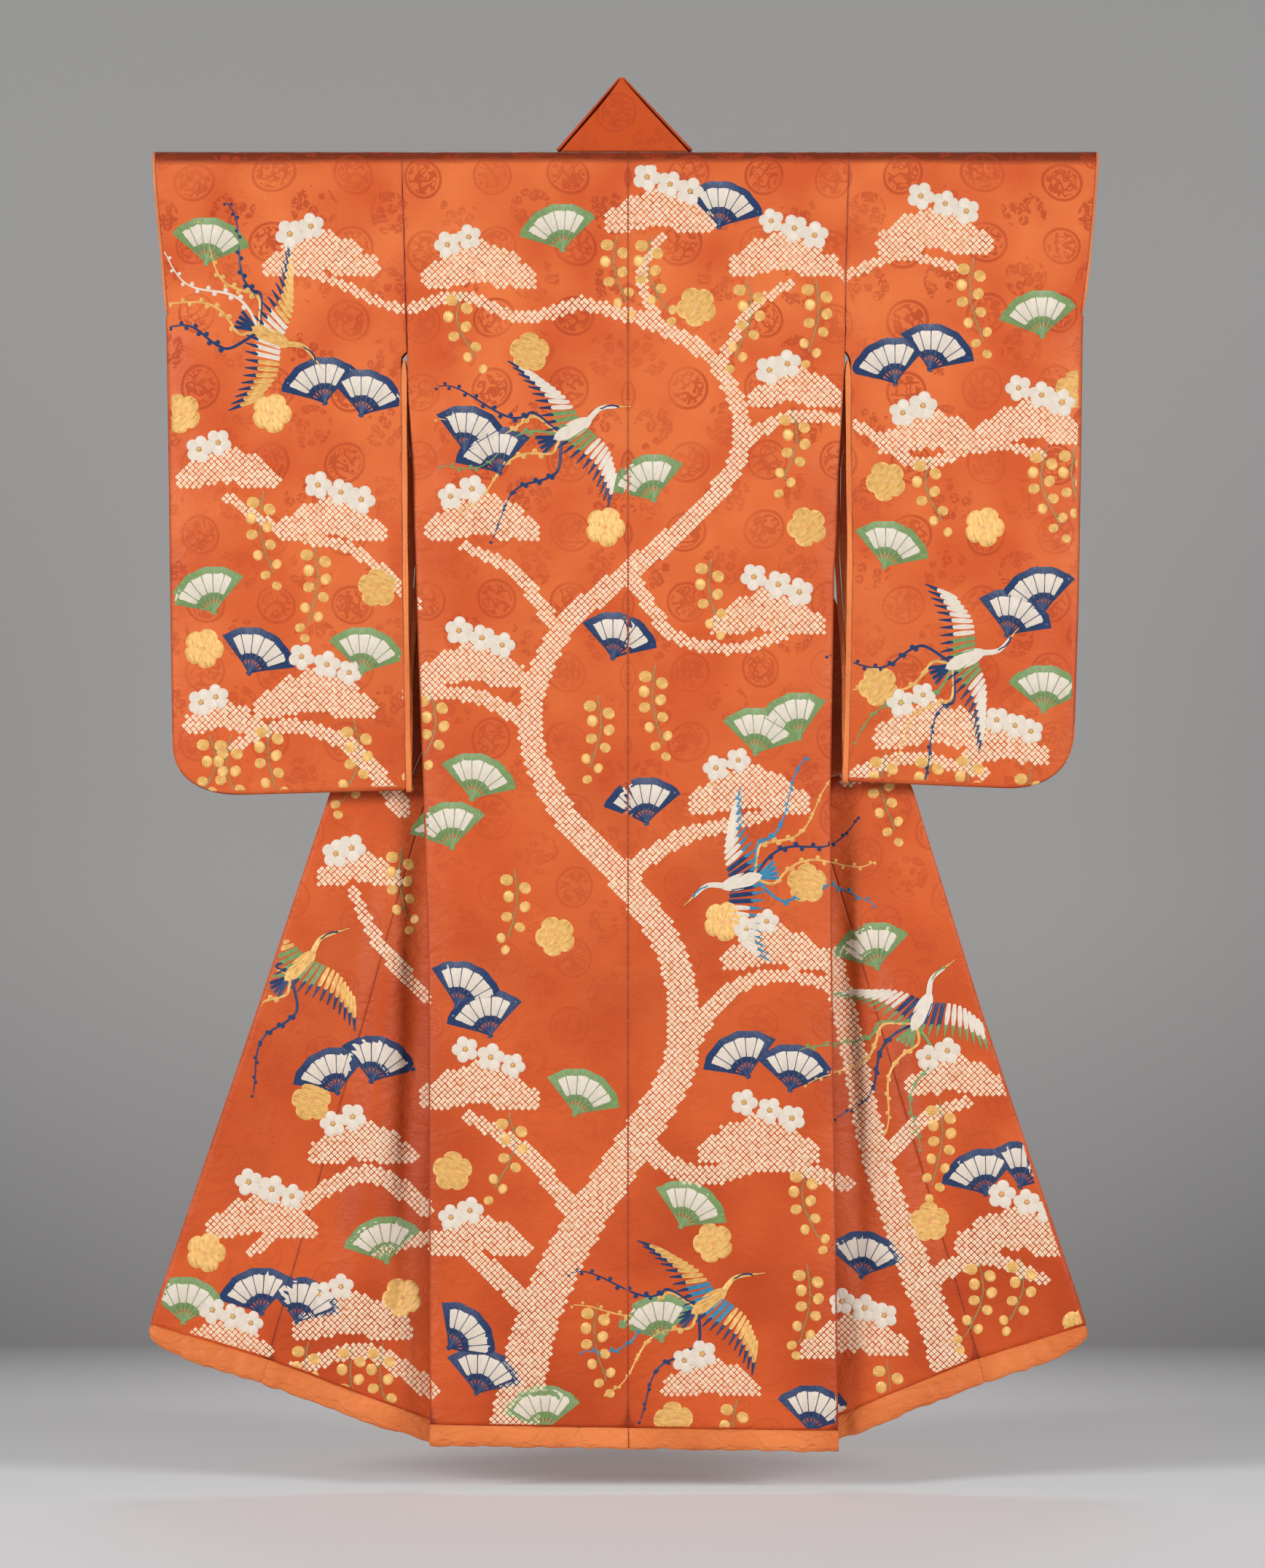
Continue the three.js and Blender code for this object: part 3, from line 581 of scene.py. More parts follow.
def grid_quads(rows, columns, start=0):
    """Point numbers of the cells of a grid, row by row."""
    number = start + np.arange(rows * columns).reshape(rows, columns)
    cells = [number[:-1, :-1], number[:-1, 1:], number[1:, 1:], number[1:, :-1]]
    return np.stack(cells, axis=-1).reshape(-1, 4)


def sew(name, patches, facing, outside=figured_silk, inside=lining_silk, wall=SILK):
    """A cloth piece from patches of (points, cloth coordinates, seam closeness). The faces are
    turned so that the first patch's middle cell faces the given way."""
    quads, start = [], 0
    for points, _, _ in patches:
        quads.append(grid_quads(*points.shape[:2], start))
        start += points.shape[0] * points.shape[1]
    points = np.concatenate([p.reshape(-1, 3) for p, _, _ in patches])
    cloth = np.concatenate([c.reshape(-1, 2) for _, c, _ in patches])
    seam = np.concatenate([np.clip(s, 0, 1).reshape(-1) for _, _, s in patches])
    a, b, _, d = points[quads[0][len(quads[0]) // 2]]
    quads = np.concatenate(quads)
    if np.dot(np.cross(b - a, d - a), facing) < 0:
        quads = quads[:, ::-1]
    made = build(name, points, quads, cloth[quads], [outside, inside], seam=seam)
    if wall:
        shell = made.modifiers.new("wall", "SOLIDIFY")
        shell.thickness = wall * MM
        shell.offset = -1
        shell.material_offset = shell.material_offset_rim = 1
    return made


def place(made, slot, *nodes):
    """Hangs a piece on the root and hides the solids it stands for. Its slot is not used."""
    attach(made, "root")
    if nodes:
        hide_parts(*nodes)
    return made


# %% [markdown]
# ## Creases
# Each row is one soft trough or ridge: where it starts, where it ends, its width and its depth, in
# mm. Lengths, depths and gaps are uneven, as in silk that was folded away for years. Long shallow
# ones fall from the shoulders, and short ones cross the lower back and gather beside the tie-dye.

# %% Creases
BACK_CREASES = [  # x and z of the start, x and z of the end, width, height
    (-236, -20, -268, -560, 15, -1.5), (-150, -30, -190, -410, 20, 1.2), (-52, -16, -70, -380, 16, -0.9),
    (58, -25, 74, -330, 18, -1.0), (142, -40, 176, -520, 20, 1.3), (228, -30, 252, -470, 14, -1.6),
    (-225, -600, -238, -1190, 22, 1.7), (-120, -560, -96, -980, 26, -1.1), (96, -640, 120, -1120, 24, -1.2),
    (214, -560, 232, -1010, 20, 1.5), (-236, -1240, -60, -1262, 8, -0.9), (-30, -1330, 190, -1352, 9, -1.0),
    (-252, -1410, -120, -1395, 8, 0.9), (40, -1490, 238, -1478, 8, -0.9), (-210, -1545, -20, -1560, 9, -1.1),
    (-258, -1622, -20, -1630, 6, -1.1), (16, -1628, 262, -1618, 6, -1.0), (-170, -900, -60, -930, 9, 0.8),
    (60, -820, 168, -800, 8, -0.8), (-262, -1040, -150, -1075, 10, -0.9), (130, -1200, 256, -1230, 9, -1.0),
    (-40, -420, 60, -452, 10, 0.7), (-190, -700, -120, -655, 9, -0.8), (150, -300, 262, -338, 9, -0.9),
    (-266, -330, -170, -372, 10, -0.9), (20, -1080, 84, -1032, 9, 0.8), (-150, -180, -60, -205, 9, -0.7),
    (236, -1300, 248, -1610, 14, 1.4), (-244, -1330, -250, -1600, 13, 1.3), (-8, -60, -10, -700, 11, 0.7),
]
SLEEVE_CREASES = [
    (330, -20, 352, -470, 22, -1.5), (408, -30, 396, -360, 24, 1.2), (486, -20, 502, -540, 22, -1.4),
    (560, -60, 574, -420, 16, 1.4), (310, -420, 330, -800, 16, 1.7), (420, -500, 440, -806, 26, -1.4),
    (528, -470, 540, -790, 22, 1.3), (330, -768, 520, -792, 8, -1.1), (360, -612, 470, -640, 10, -0.8),
    (470, -250, 590, -282, 9, -0.9), (300, -232, 390, -262, 9, -1.0), (540, -690, 592, -640, 10, -1.0),
    (346, -120, 420, -142, 9, -0.7), (300, -528, 352, -506, 8, 0.9), (455, -400, 548, -382, 10, 0.7),
]
FAN_CREASES = [
    (300, -830, 520, -1560, 12, -1.4), (290, -800, 452, -1600, 15, 2.0), (330, -900, 560, -1500, 9, 1.0),
    (286, -960, 372, -1620, 10, -2.0), (318, -1180, 350, -1480, 12, 1.6), (402, -1240, 470, -1500, 9, -1.0),
    (480, -1420, 560, -1452, 8, -0.9), (340, -1560, 470, -1548, 8, -1.0), (300, -1400, 340, -1600, 10, 1.8),
]
GROOVE = 0.7
GROOVE_WIDE = 2.2


def near_edge(distance, reach):
    """1 on a seam, falling off as exp(-distance / reach)."""
    return np.exp(-np.abs(distance) / reach)


def back_relief(side, out, z):
    """How far the back stands out: waves, creases, and a groove at the seams in the middle and side."""
    x = side["sign"] * out
    rise = swell(x, z, 3, 0.75, 150) + swell(x, z, 4, 0.3, 42) + creased(BACK_CREASES, x, z)
    side_seam = read(BODY_EDGE, z, side["name"]) - out
    seams = np.exp(-(out / GROOVE_WIDE) ** 2) + np.exp(-(side_seam / GROOVE_WIDE) ** 2)
    pucker = near_edge(out, 9) + near_edge(side_seam, 8)
    ripple = np.sin(z / 4.6 + 1.7 * np.sin(z / 31)) * (0.6 + 0.4 * np.sin(z / 57))
    return 1.25 * rise - GROOVE * seams + 0.4 * pucker * ripple


def fan_relief(side, out, z):
    """Creases of the turned-out fronts, as seen, on top of their deep folds."""
    shift = 14 if side["sign"] > 0 else 0
    rise = creased(FAN_CREASES, out + shift, z + 3 * shift)
    return rise + swell(side["sign"] * out, z, 5, 0.8, 110) + swell(out, z, 6, 0.3, 40)


def sleeve_relief(side, out, z, hidden):
    """Waves, creases and the armhole's groove of a sleeve. The hidden layer has its own draw."""
    shift = (11 if side["sign"] > 0 else 0) + (23 if hidden else 0)
    rise = creased(SLEEVE_CREASES, out + shift, z - 2 * shift) * (1 if side["sign"] > 0 else 0.85)
    rise = rise + swell(side["sign"] * out, z, 7 + hidden, 0.7, 130) + swell(out, z, 9 + hidden, 0.3, 40)
    seam = out - read(BODY_EDGE, z, side["name"])
    held = smooth(z, ARMHOLE_END - 30, ARMHOLE_END)
    ripple = 0.4 * np.sin(z / 4.9 + np.sin(z / 23)) * near_edge(seam, 8)
    sewn = held * (ripple - GROOVE * np.exp(-(seam / GROOVE_WIDE) ** 2))
    return (rise + sewn) * smooth(-z, 0, 30)


print("creases:", len(BACK_CREASES), "back,", len(SLEEVE_CREASES), "sleeve,", len(FAN_CREASES), "front")


# %% Outer faces as seen
def outer_depth(depth, z):
    """Depth of the outer face: half the wall outside a middle surface, and above the axis the roll."""
    over = np.sqrt(np.maximum((ROLL + WALL / 2) ** 2 - np.maximum(z, 0) ** 2, 0))
    return np.where(z > 0, over, depth + WALL / 2)


def back_skin(side, out, z):
    """Outer face of the back, with its relief faded out at the rod."""
    rise = back_relief(side, out, z) * smooth(z, 0, -30)
    depth = outer_depth(body_depth(side, out, np.minimum(z, 0)), z)
    return paired(side["sign"] * out, -depth - rise, z)


def front_skin(side, out, z, lift=WALL / 2):
    """Where a point of the flat front hangs, lifted off the middle surface to the outer face. The
    turn is half a circle between the two layers, bulging a little past the turn's line."""
    along, inward, _ = fold_line(side)
    q, t = from_fold(side, out, z)
    turn = turn_width(side, t)
    angle = np.clip((q + turn) / (2 * turn), 0, 1) * np.pi
    flat = np.where(q <= -turn, q, np.where(q >= turn, -q, -turn))
    x, height = side["tip"] + along[0] * t, COLLAR_TOP + along[1] * t
    flat_x, flat_z = x + inward[0] * flat, height + inward[1] * flat
    y1 = first_layer(side, flat_x, flat_z)
    relief = fan_relief(side, flat_x, flat_z) * smooth(q, turn, turn + 30) * smooth(flat_z, -60, -300)
    near = np.exp(-((out - OKUMI_SEAM) / GROOVE_WIDE) ** 2) * smooth(z, -600, -640)
    near = near + np.exp(-((out - collar_seam(side, z)) / GROOVE_WIDE) ** 2) * smooth(z, -856, -846)
    y2 = second_layer(side, flat_x, flat_z, t) - relief + GROOVE * near
    round_it = (TURN_BULGE * turn + lift) * np.sin(angle)
    x = x + inward[0] * (flat + round_it)
    height = height + inward[1] * (flat + round_it)
    y = (y1 + y2) / 2 + (lift - (y2 - y1) / 2) * np.cos(angle)
    return paired(side["sign"] * x, y, height)


def sleeve_skin(side, out, z, hidden=False):
    """Outer face of a sleeve's back layer, or of its hidden front layer."""
    y = outer_depth(sleeve_depth(side, out, np.minimum(z, 0)), z) + sleeve_relief(side, out, z, hidden)
    return paired(side["sign"] * out, y if hidden else -y, z)


# %% [markdown]
# ## The body
# Each side of the body is one length of silk with a seam in the middle of the back. Its columns run
# from the neck to the side edge, and on the front they crowd together where the cloth turns. The
# patches share their edge points, so that they merge into one unbroken length.

# %% Body lengths
ROW = 7.2
BODY_COLUMNS = 46
TURN_SHARE = 0.22
NEAR_SEAM = [0.983, 0.993, 1]
ROLL_ANGLES = np.linspace(0, np.pi, 13)
MIDDLE_SHARES = np.array([0, 0.02, 0.045, *np.linspace(0.09, 1, 12)])
body_shares = np.array([0, 0.008, 0.02, *np.linspace(0.04, 0.965, BODY_COLUMNS - 6), *NEAR_SEAM])


def crowded(start, end, centre, half, shares):
    """Places from start to end, a row at a time, that crowd together within half of a centre: the
    running share is a straight line plus a soft step at the centre, turned round by interpolation."""
    rows = []
    for a, b, middle, reach in zip(start, end, centre, half):
        sample = np.linspace(a, b, 300)
        step = smooth(sample, middle - 1.3 * reach, middle + 1.3 * reach) * np.sign(b - a)
        run = np.linspace(0, 1, 300) + TURN_SHARE * (step - step[0])
        rows.append(np.interp(shares * run[-1], run, sample))
    return np.array(rows)


def roll_patch(sign, out, angles, seam):
    """Cloth round the rod: circles about the axis, from the back's side over to the front's."""
    turn = angles[:, None]
    radius = ROLL + WALL / 2
    points = paired(sign * out, -radius * np.cos(turn), radius * np.sin(turn))
    return points, paired(out, ROLL * turn), seam + 0 * turn


def hem_shift(side, out, level):
    """How far the front's hem line stands above its side corner, faded out upwards."""
    corner = read(FRONT_HEM, read(BODY_EDGE, side["hem"], side["name"]), side["name"], "out")
    return (read(FRONT_HEM, out, side["name"], "out") - corner) * smooth(-level, 1250, -side["hem"])


def body_length(side):
    """Back, roll, neck edge and turned-out front of one side, and their cloth coordinates."""
    sign, neck = side["sign"], side["neck"]
    z = np.linspace(side["hem"], 0, int(-side["hem"] / ROW))[:, None]
    hem_seam = near_edge(z - side["hem"], 12)
    edge = read(BODY_EDGE, z, side["name"])
    sewn = smooth(-z, -SIDE_SEWN[0], -SIDE_SEWN[1]) * (body_shares == 1)
    out = neck + (edge - neck) * body_shares
    back = back_skin(side, out, z + middle_drop(side, out, z))
    back[..., 1] *= 1 - sewn
    middle = neck * MIDDLE_SHARES
    middle_skin = back_skin(side, middle, z + middle_drop(side, middle, z))
    top = out[-1]
    over = roll_patch(sign, top, ROLL_ANGLES, near_edge(edge[-1] - top, 9))
    neck_angles = ROLL_ANGLES[ROLL_ANGLES <= math.radians(NECK_ANGLE) + 0.01]
    level = z[::-1]
    along = fold_line(side)[0]
    t = (level[:, 0] - COLLAR_TOP) / along[1]
    inner = np.maximum(collar_seam(side, np.minimum(level, NECK_SEAM)), OKUMI_SEAM)
    inner = lerp(neck, inner, smooth(-level, 0, 60))
    flat = crowded(inner[:, 0], edge[::-1, 0], side["tip"] + along[0] * t, turn_width(side, t), body_shares)
    height = level + hem_shift(side, flat, level)
    front = front_skin(side, flat, height)
    front[0] = over[0][-1]
    front[..., 1] *= 1 - sewn[::-1]
    return [
        (back, paired(out, z), near_edge(edge - out, 9) + hem_seam),
        (middle_skin, paired(middle, z), near_edge(middle, 8) + hem_seam),
        over,
        roll_patch(sign, middle, neck_angles, near_edge(middle, 8)),
        (front, paired(flat, np.pi * ROLL - height), near_edge(flat - inner, 9) + hem_seam[::-1]),
    ]


for side in SIDES.values():
    made = sew(f"body_silk_{side['name']}", body_length(side), (0, -1, 0))
    place(made, "figured_silk", f"body_{side['name']}")
    print(made.name, len(made.data.polygons), "faces")


# %% [markdown]
# ## Sleeves
# A sleeve is one length folded over the rod. Its two layers are sewn together at the outer edge below
# the wrist and along the rounded foot, and stay open along the inner edge below the armhole.

# %% Sleeves
CORNER_ROWS = 16
sleeve_shares = np.array([0, 0.012, 0.03, *np.linspace(0.055, 0.95, 38), 0.972, 0.988, 1])


def sleeve_levels(side):
    """Row heights: even above, then at even angles round the superellipse of the corner."""
    foot = (side["sleeve_in"] + side["sleeve_out"]) / 2
    angle = np.linspace(0, np.pi / 2, CORNER_ROWS + 1)[1:]
    corner = side["corner"] + (foot - side["corner"]) * np.sin(angle) ** (2 / CORNER_POWER)
    levels = np.concatenate([np.linspace(0, side["corner"], int(-side["corner"] / ROW)), corner])
    return levels[:, None], foot


def sleeve_layer(side, hidden):
    """One layer from the rod down to the foot: level rows above, aslant at the foot."""
    level, foot = sleeve_levels(side)
    open_edge = read(SLEEVE_INNER, level, side["name"]) + FURI_EDGE + 0.3
    if hidden:
        open_edge = open_edge - read(SLEEVE_INNER, level, "front")
    start = lerp(open_edge, read(BODY_EDGE, level, side["name"]), smooth(level, -258, -249))
    end = sleeve_outer(side, level, foot) - (WRIST_EDGE + 0.3) * smooth(level, -204, -196)
    out = start + (end - start) * sleeve_shares
    full = sleeve_outer(side, -300.0) - start
    slant = lerp(side["sleeve_in"], side["sleeve_out"], np.clip((out - start) / full, 0, 1)) - foot
    z = level + slant * smooth(-level, 300, -foot)
    points = sleeve_skin(side, out, z, hidden)
    closing = np.sqrt(np.clip((level - foot) / 5, 0, 1))
    sewn = smooth(-level, 198, 240) * (sleeve_shares == 1)
    points[..., 1] *= closing * (1 - sewn)
    armhole = near_edge(out - start, 8) * smooth(level, -260, -240)
    seam = near_edge(end - out, 8) + near_edge(level - foot, 10) + armhole
    return points, paired(out, np.pi * ROLL - z if hidden else z), seam


for side in SIDES.values():
    back, front = sleeve_layer(side, False), sleeve_layer(side, True)
    across = np.abs(back[0][0, :, 0])
    roll = roll_patch(side["sign"], across, ROLL_ANGLES, near_edge(across - across[0], 8))
    back[0][0], front[0][0] = roll[0][0], roll[0][-1]
    made = sew(f"sleeve_silk_{side['name']}", [tuple(part[::-1] for part in back), roll, front], (0, -1, 0))
    place(made, "figured_silk", f"sleeve_{side['name']}")
    print(made.name, len(made.data.polygons), "faces")


# %% [markdown]
# ## Overlaps and collar
# The overlap widens each front, from a point under the collar down to the hem. The collar is one
# long band: it stands up behind the neck as a pinched peak, folds over at a mitre on each side and
# runs down the front edges. Both are surfaces on the same turned-out front as the body.

# %% Overlaps
COLLAR_GAP = 0.25


def flat_front(side, out, z):
    """Points, cloth coordinates and seam closeness of a patch of the flat front."""
    seam = near_edge(out - OKUMI_SEAM, 9) + near_edge(z - side["hem"] - 14, 12)
    return front_skin(side, out, z), paired(out, np.pi * ROLL - z), seam


def overlap(side):
    """A wedge between the front's seam and the collar's, then the full width below the collar."""
    low = COLLAR_END - 0.3
    seam_low, seam_far = (collar_seam(side, z) + COLLAR_GAP for z in (low, -900))
    point = NECK_SEAM - (side["neck"] - OKUMI_SEAM + 2.2) * (NECK_SEAM + 900) / (side["neck"] - seam_far)
    z = np.linspace(point, low, 34)[:, None]
    narrow = np.array([0, 0.08, 0.25, 0.5, 0.75, 1])
    wide = collar_seam(side, z) + COLLAR_GAP - OKUMI_SEAM
    wedge = flat_front(side, OKUMI_SEAM + wide * narrow, z)
    level = np.linspace(low, side["hem"], 112)[:, None]
    edge = read(FRONT_EDGE, level, side["name"])
    out = np.concatenate([OKUMI_SEAM + (seam_low - OKUMI_SEAM) * narrow + 0 * level,
                          seam_low + (edge - seam_low) * np.linspace(0, 1, 17)[1:]], axis=1)
    foot = read(FRONT_HEM, out, side["name"], "out") - side["hem"]
    return [wedge, flat_front(side, out, level + foot * smooth(-level, 1250, -side["hem"]))]


for side in SIDES.values():
    made = sew(f"overlap_silk_{side['name']}", overlap(side), (0, -1, 0))
    place(made, "figured_silk", f"overlap_{side['name']}")
    print(made.name, len(made.data.polygons), "faces")


# %% Collar
MITRE = (165, 20)
MITRE_ROWS = 9
PEAK_INSET = 0.5
COLLAR_WIDE = 95
COLLAR_LONG = 960


def peak_depth(z):
    """Depth of the collar's back plate, which leans from the neck seam to the middle at its tip."""
    rise = np.clip((z - NECK_SEAM) / (COLLAR_TOP - NECK_SEAM), 0, 1)
    return lerp(-ROLL * math.cos(math.radians(NECK_ANGLE)), -1, rise)


def collar_peak():
    """A triangle of cloth: straight sides, slightly hollow on the left, and a soft middle ridge."""
    rise = np.linspace(0, 1, 34)[:, None]
    hollow = 5 * np.sin(np.pi * rise) * rise
    left, right = SIDES["left"], SIDES["right"]
    start = -lerp(left["neck"], left["tip"], rise) + PEAK_INSET + hollow
    end = lerp(right["neck"], right["tip"], rise) - PEAK_INSET - 0.5 * hollow
    half = np.maximum((end - start) / 2, 1.2)
    across = half * np.linspace(-1, 1, 29)
    x = (start + end) / 2 + across
    z = lerp(NECK_SEAM - 1.5, COLLAR_TOP + 0.7, rise)
    ridge = 1.1 * np.exp(-((x - 4) / 9) ** 2) + swell(x, z, 12, 0.7, 55)
    fade = np.minimum(1, (half - np.abs(across)) / 6)
    y = peak_depth(z) - WALL / 2 - ridge * fade
    return [(paired(x, y, z), paired(x, z), near_edge(z - NECK_SEAM, 7) + 0 * x)]


def collar_run(side):
    """Rows square to the band, from the mitre down to the collar's end, crowding at the turn."""
    down = np.linspace(0, 1, 132)
    seam_z, edge_z = lerp(NECK_SEAM, COLLAR_END, down), lerp(COLLAR_TOP, COLLAR_END, down)
    gap = 0.15 + 0.9 * np.clip(1 - np.abs(seam_z + 285) / 110, 0, 1)
    seam_out, edge_out = collar_seam(side, seam_z) - gap, read(FRONT_EDGE, edge_z, side["name"])
    (q0, t0), (q1, t1) = from_fold(side, seam_out, seam_z), from_fold(side, edge_out, edge_z)
    cross = np.clip(-q0 / (q1 - q0), -2, 3)
    turn = turn_width(side, lerp(t0, t1, np.clip(cross, 0, 1))) / np.abs(q1 - q0)
    shares = crowded(0 * down, 0 * down + 1, cross, turn, np.linspace(0, 1, 24))
    out = seam_out[:, None] + (edge_out - seam_out)[:, None] * shares
    z = seam_z[:, None] + (edge_z - seam_z)[:, None] * shares
    points = front_skin(side, out, z)
    angle = np.radians(np.linspace(*MITRE, MITRE_ROWS))[:, None]
    x, front, height = points[0].T
    back = peak_depth(height) - WALL / 2
    bulge = 0.3 * (front - back) / 2 * np.sin(angle)
    y = (front + back) / 2 + (front - back) / 2 * np.cos(angle)
    points = np.concatenate([paired(x + side["sign"] * bulge, y, height + bulge), points])
    cloth = paired(shares * COLLAR_WIDE, down[:, None] * COLLAR_LONG)
    cloth = np.concatenate([cloth[:1] - paired(0, angle * 5), cloth])
    seam = 0.7 * near_edge(shares * COLLAR_WIDE, 7)
    return [(points, cloth, np.concatenate([0 * seam[:MITRE_ROWS], seam]))]


made = sew("collar_peak_silk", collar_peak(), (0, -1, 0), figured_silk, figured_silk)
place(made, "figured_silk", "collar_back")
for side in SIDES.values():
    made = sew(f"collar_silk_{side['name']}", collar_run(side), (-side["sign"] * 0.3, 0.2, 1),
               figured_silk, figured_silk)
    place(made, "figured_silk", f"collar_{side['name']}")
    print(made.name, len(made.data.polygons), "faces")


# %% [markdown]
# ## Padded hem and rolled lining edges
# The lining is cut longer than the silk and rolled outward at the hem over a wad of cotton. At the
# sleeves' open edges it is rolled out only a few millimetres. A closed ring of points is carried
# along each edge, and its ends close round or flat.

# %% Rolls
RING = 18
ROUND_END = [0.0, 0.35, 0.7, 0.92]
FLAT_END = [0.0, 0.97, 1.0, 1.0]


def outward(made):
    """Turns a closed piece's faces out, if its signed volume is negative."""
    mesh = made.data
    points = np.empty(len(mesh.vertices) * 3)
    mesh.vertices.foreach_get("co", points)
    points = points.reshape(-1, 3)
    mesh.calc_loop_triangles()
    corners = np.empty(len(mesh.loop_triangles) * 3, int)
    mesh.loop_triangles.foreach_get("vertices", corners)
    a, b, c = points[corners.reshape(-1, 3).T]
    volume = np.einsum("ij,ij->i", a, np.cross(b, c)).sum()
    if volume < 0:
        mesh.flip_normals()
    return made


def squared(wave, power):
    """A sine or cosine bent towards a square wave, sign kept."""
    return np.sign(wave) * np.abs(wave) ** power


def carried(name, at, down, out, high, thick, squareness=0.8, ends=(ROUND_END, ROUND_END)):
    """A closed roll: at each station a rounded-square ring, high along down and thick along out. The
    first and last stations come twice, so that an end can close flat."""
    stations = np.concatenate([[0], np.arange(len(at)), [len(at) - 1]])
    high, thick = (np.broadcast_to(v, len(at))[stations] for v in (high, thick))
    at, down, out = at[stations], down[stations], out[stations]
    angle = np.linspace(0, 2 * np.pi, RING + 1)
    full = np.ones(len(at))
    full[:4], full[-4:] = ends[0], ends[1][::-1]
    tall = -squared(np.cos(angle), squareness) * (high * full)[:, None] / 2
    deep = squared(np.sin(angle), squareness) * (thick * full)[:, None] / 2
    points = at[:, None] + down[:, None] * tall[..., None] + out[:, None] * deep[..., None]
    cloth = paired(run_length(at)[:, None], angle * high.mean() / 2)
    seam = np.broadcast_to(0.55 * np.abs(np.cos(angle)) ** 6, tall.shape)
    return outward(sew(name, [(points, cloth, seam)], (0, -1, 0), lining_silk, lining_silk, wall=0))


HEM_DIMPLES = [  # place along the hem, width, share of the thickness
    (38, 9, 0.36), (71, 6, 0.26), (96, 5, 0.18), (118, 11, 0.4), (163, 7, 0.3), (201, 9, 0.38),
    (236, 6, 0.28),
]
HEM_WAVES = [(0.14, 19, 1), (0.11, 8.3, 2), (0.08, 3.9, 5)]  # height, reach, times the seed
HEM_LEAN = 0.42


def hem_fullness(length, seed):
    """Share of full thickness along a hem: slow waves, and dimples at uneven places."""
    shift = 9 * math.sin(seed * 3)
    wave = 1 + sum(size * np.sin(length / reach + times * seed) for size, reach, times in HEM_WAVES)
    return wave - sum(deep * np.exp(-((length - middle - shift) / wide) ** 2)
                      for middle, wide, deep in HEM_DIMPLES)


def padded_hem(stretch, at, down, out, high, thick, seed, ends):
    """A hem roll whose top edge meets the silk and whose thickness and foot are dimpled."""
    full = hem_fullness(run_length(at), seed)
    tall = high * (0.86 + 0.14 * full) + 1.6
    centre = at + down * (tall / 2 - 1.0)[:, None]
    made = carried(f"hem_roll_{stretch}", centre, down, out, tall, thick * full, ends=ends)
    place(made, "lining_silk", f"hem_{stretch}")


def back_hem(side, seed):
    """The roll below the back, from the middle seam to the side edge."""
    x = np.linspace(0, read(BODY_EDGE, side["hem"], side["name"]), 64)
    depth = np.maximum(body_depth(side, x, side["hem"]), HEM_THICK / 2 + 0.3)
    at = paired(side["sign"] * x, -depth, side["hem"] + middle_drop(side, x, side["hem"]))
    down, out = 0 * at + [0, 0, -1], 0 * at + [0, -1, 0]
    padded_hem(f"back_{side['name']}", at, down, out, HEM_BACK, HEM_THICK, seed, (FLAT_END, FLAT_END))


def front_hem(side, part, start, end, tapers, seed):
    """The roll below a stretch of a turned-out front. It follows the hanging hem line. The stretch at
    the turn leans in behind the back's roll, and the other one tapers to a round end."""
    x = np.linspace(start, end, 72)
    z = read(FRONT_HEM, x, side["name"], "out")
    at = front_skin(side, x, z, 0)
    down = unit(front_skin(side, x, z - 1, 0) - at)
    lean = 0 if tapers else HEM_LEAN * (1 - smooth(np.abs(x - start), 0, 90))
    down[:, 0] -= side["sign"] * lean
    down = unit(down)
    out = unit(np.cross(np.gradient(at, axis=0), down))
    share = np.clip(np.abs(x - end) / HEM_TAPER, 0, 1) if tapers else 1
    full = 0.3 + 0.7 * np.sqrt(share)
    padded_hem(f"{part}_{side['name']}", at, down, out, HEM_FRONT * full, HEM_THICK * full, seed,
               (FLAT_END, ROUND_END if tapers else FLAT_END))


for seed, side in enumerate(SIDES.values()):
    back_hem(side, 1.3 + seed)
    front_hem(side, "front", side["foot"] - TURN_AT_HEM - 1, OKUMI_SEAM, False, 3.1 + seed)
    front_hem(side, "overlap", OKUMI_SEAM, read(FRONT_EDGE, -1640, side["name"]), True, 5.2 + seed)
print("hem rolls:", 6)


# %% Rolled edges of the sleeves' lining
def furi_edge(side):
    """Down the back layer of the sleeve's open edge, round its foot and up the front layer."""
    sign, foot = side["sign"], side["sleeve_in"]
    z = np.linspace(ARMHOLE_END - 10, foot, 76)
    path = []
    for hidden in (False, True):
        out = read(SLEEVE_INNER, z, side["name"]) + FURI_EDGE / 2
        out = out - (read(SLEEVE_INNER, z, "front") if hidden else 0)
        depth = np.maximum(sleeve_depth(side, out, z), EDGE_THICK / 2 + 0.15)
        depth = depth + sleeve_relief(side, out, z, hidden) * np.clip((z - foot) / 60, 0, 1)
        path.append(paired(sign * out, depth if hidden else -depth, z))
    turn = path[0][-1:] * [1, 0, 1] - [0, 0, 1.2]
    return np.concatenate([path[0], turn, path[1][::-1]])


def wrist_edge(side):
    """Up the back layer of the wrist opening, over the rod and down the front layer."""
    sign = side["sign"]
    z = np.linspace(WRIST_END, 0, 30)[:-1]
    out = sleeve_outer(side, z) - WRIST_EDGE / 2
    back, front = (sleeve_depth(side, out, z) + sleeve_relief(side, out, z, hidden)
                   for hidden in (False, True))
    angle = np.linspace(0, np.pi, 12)
    top_out = sleeve_outer(side, 0.0) - WRIST_EDGE / 2
    top = paired(sign * top_out, -ROLL * np.cos(angle), ROLL * np.sin(angle))
    return np.concatenate([paired(sign * out, -back, z), top, paired(sign * out, front, z)[::-1]])


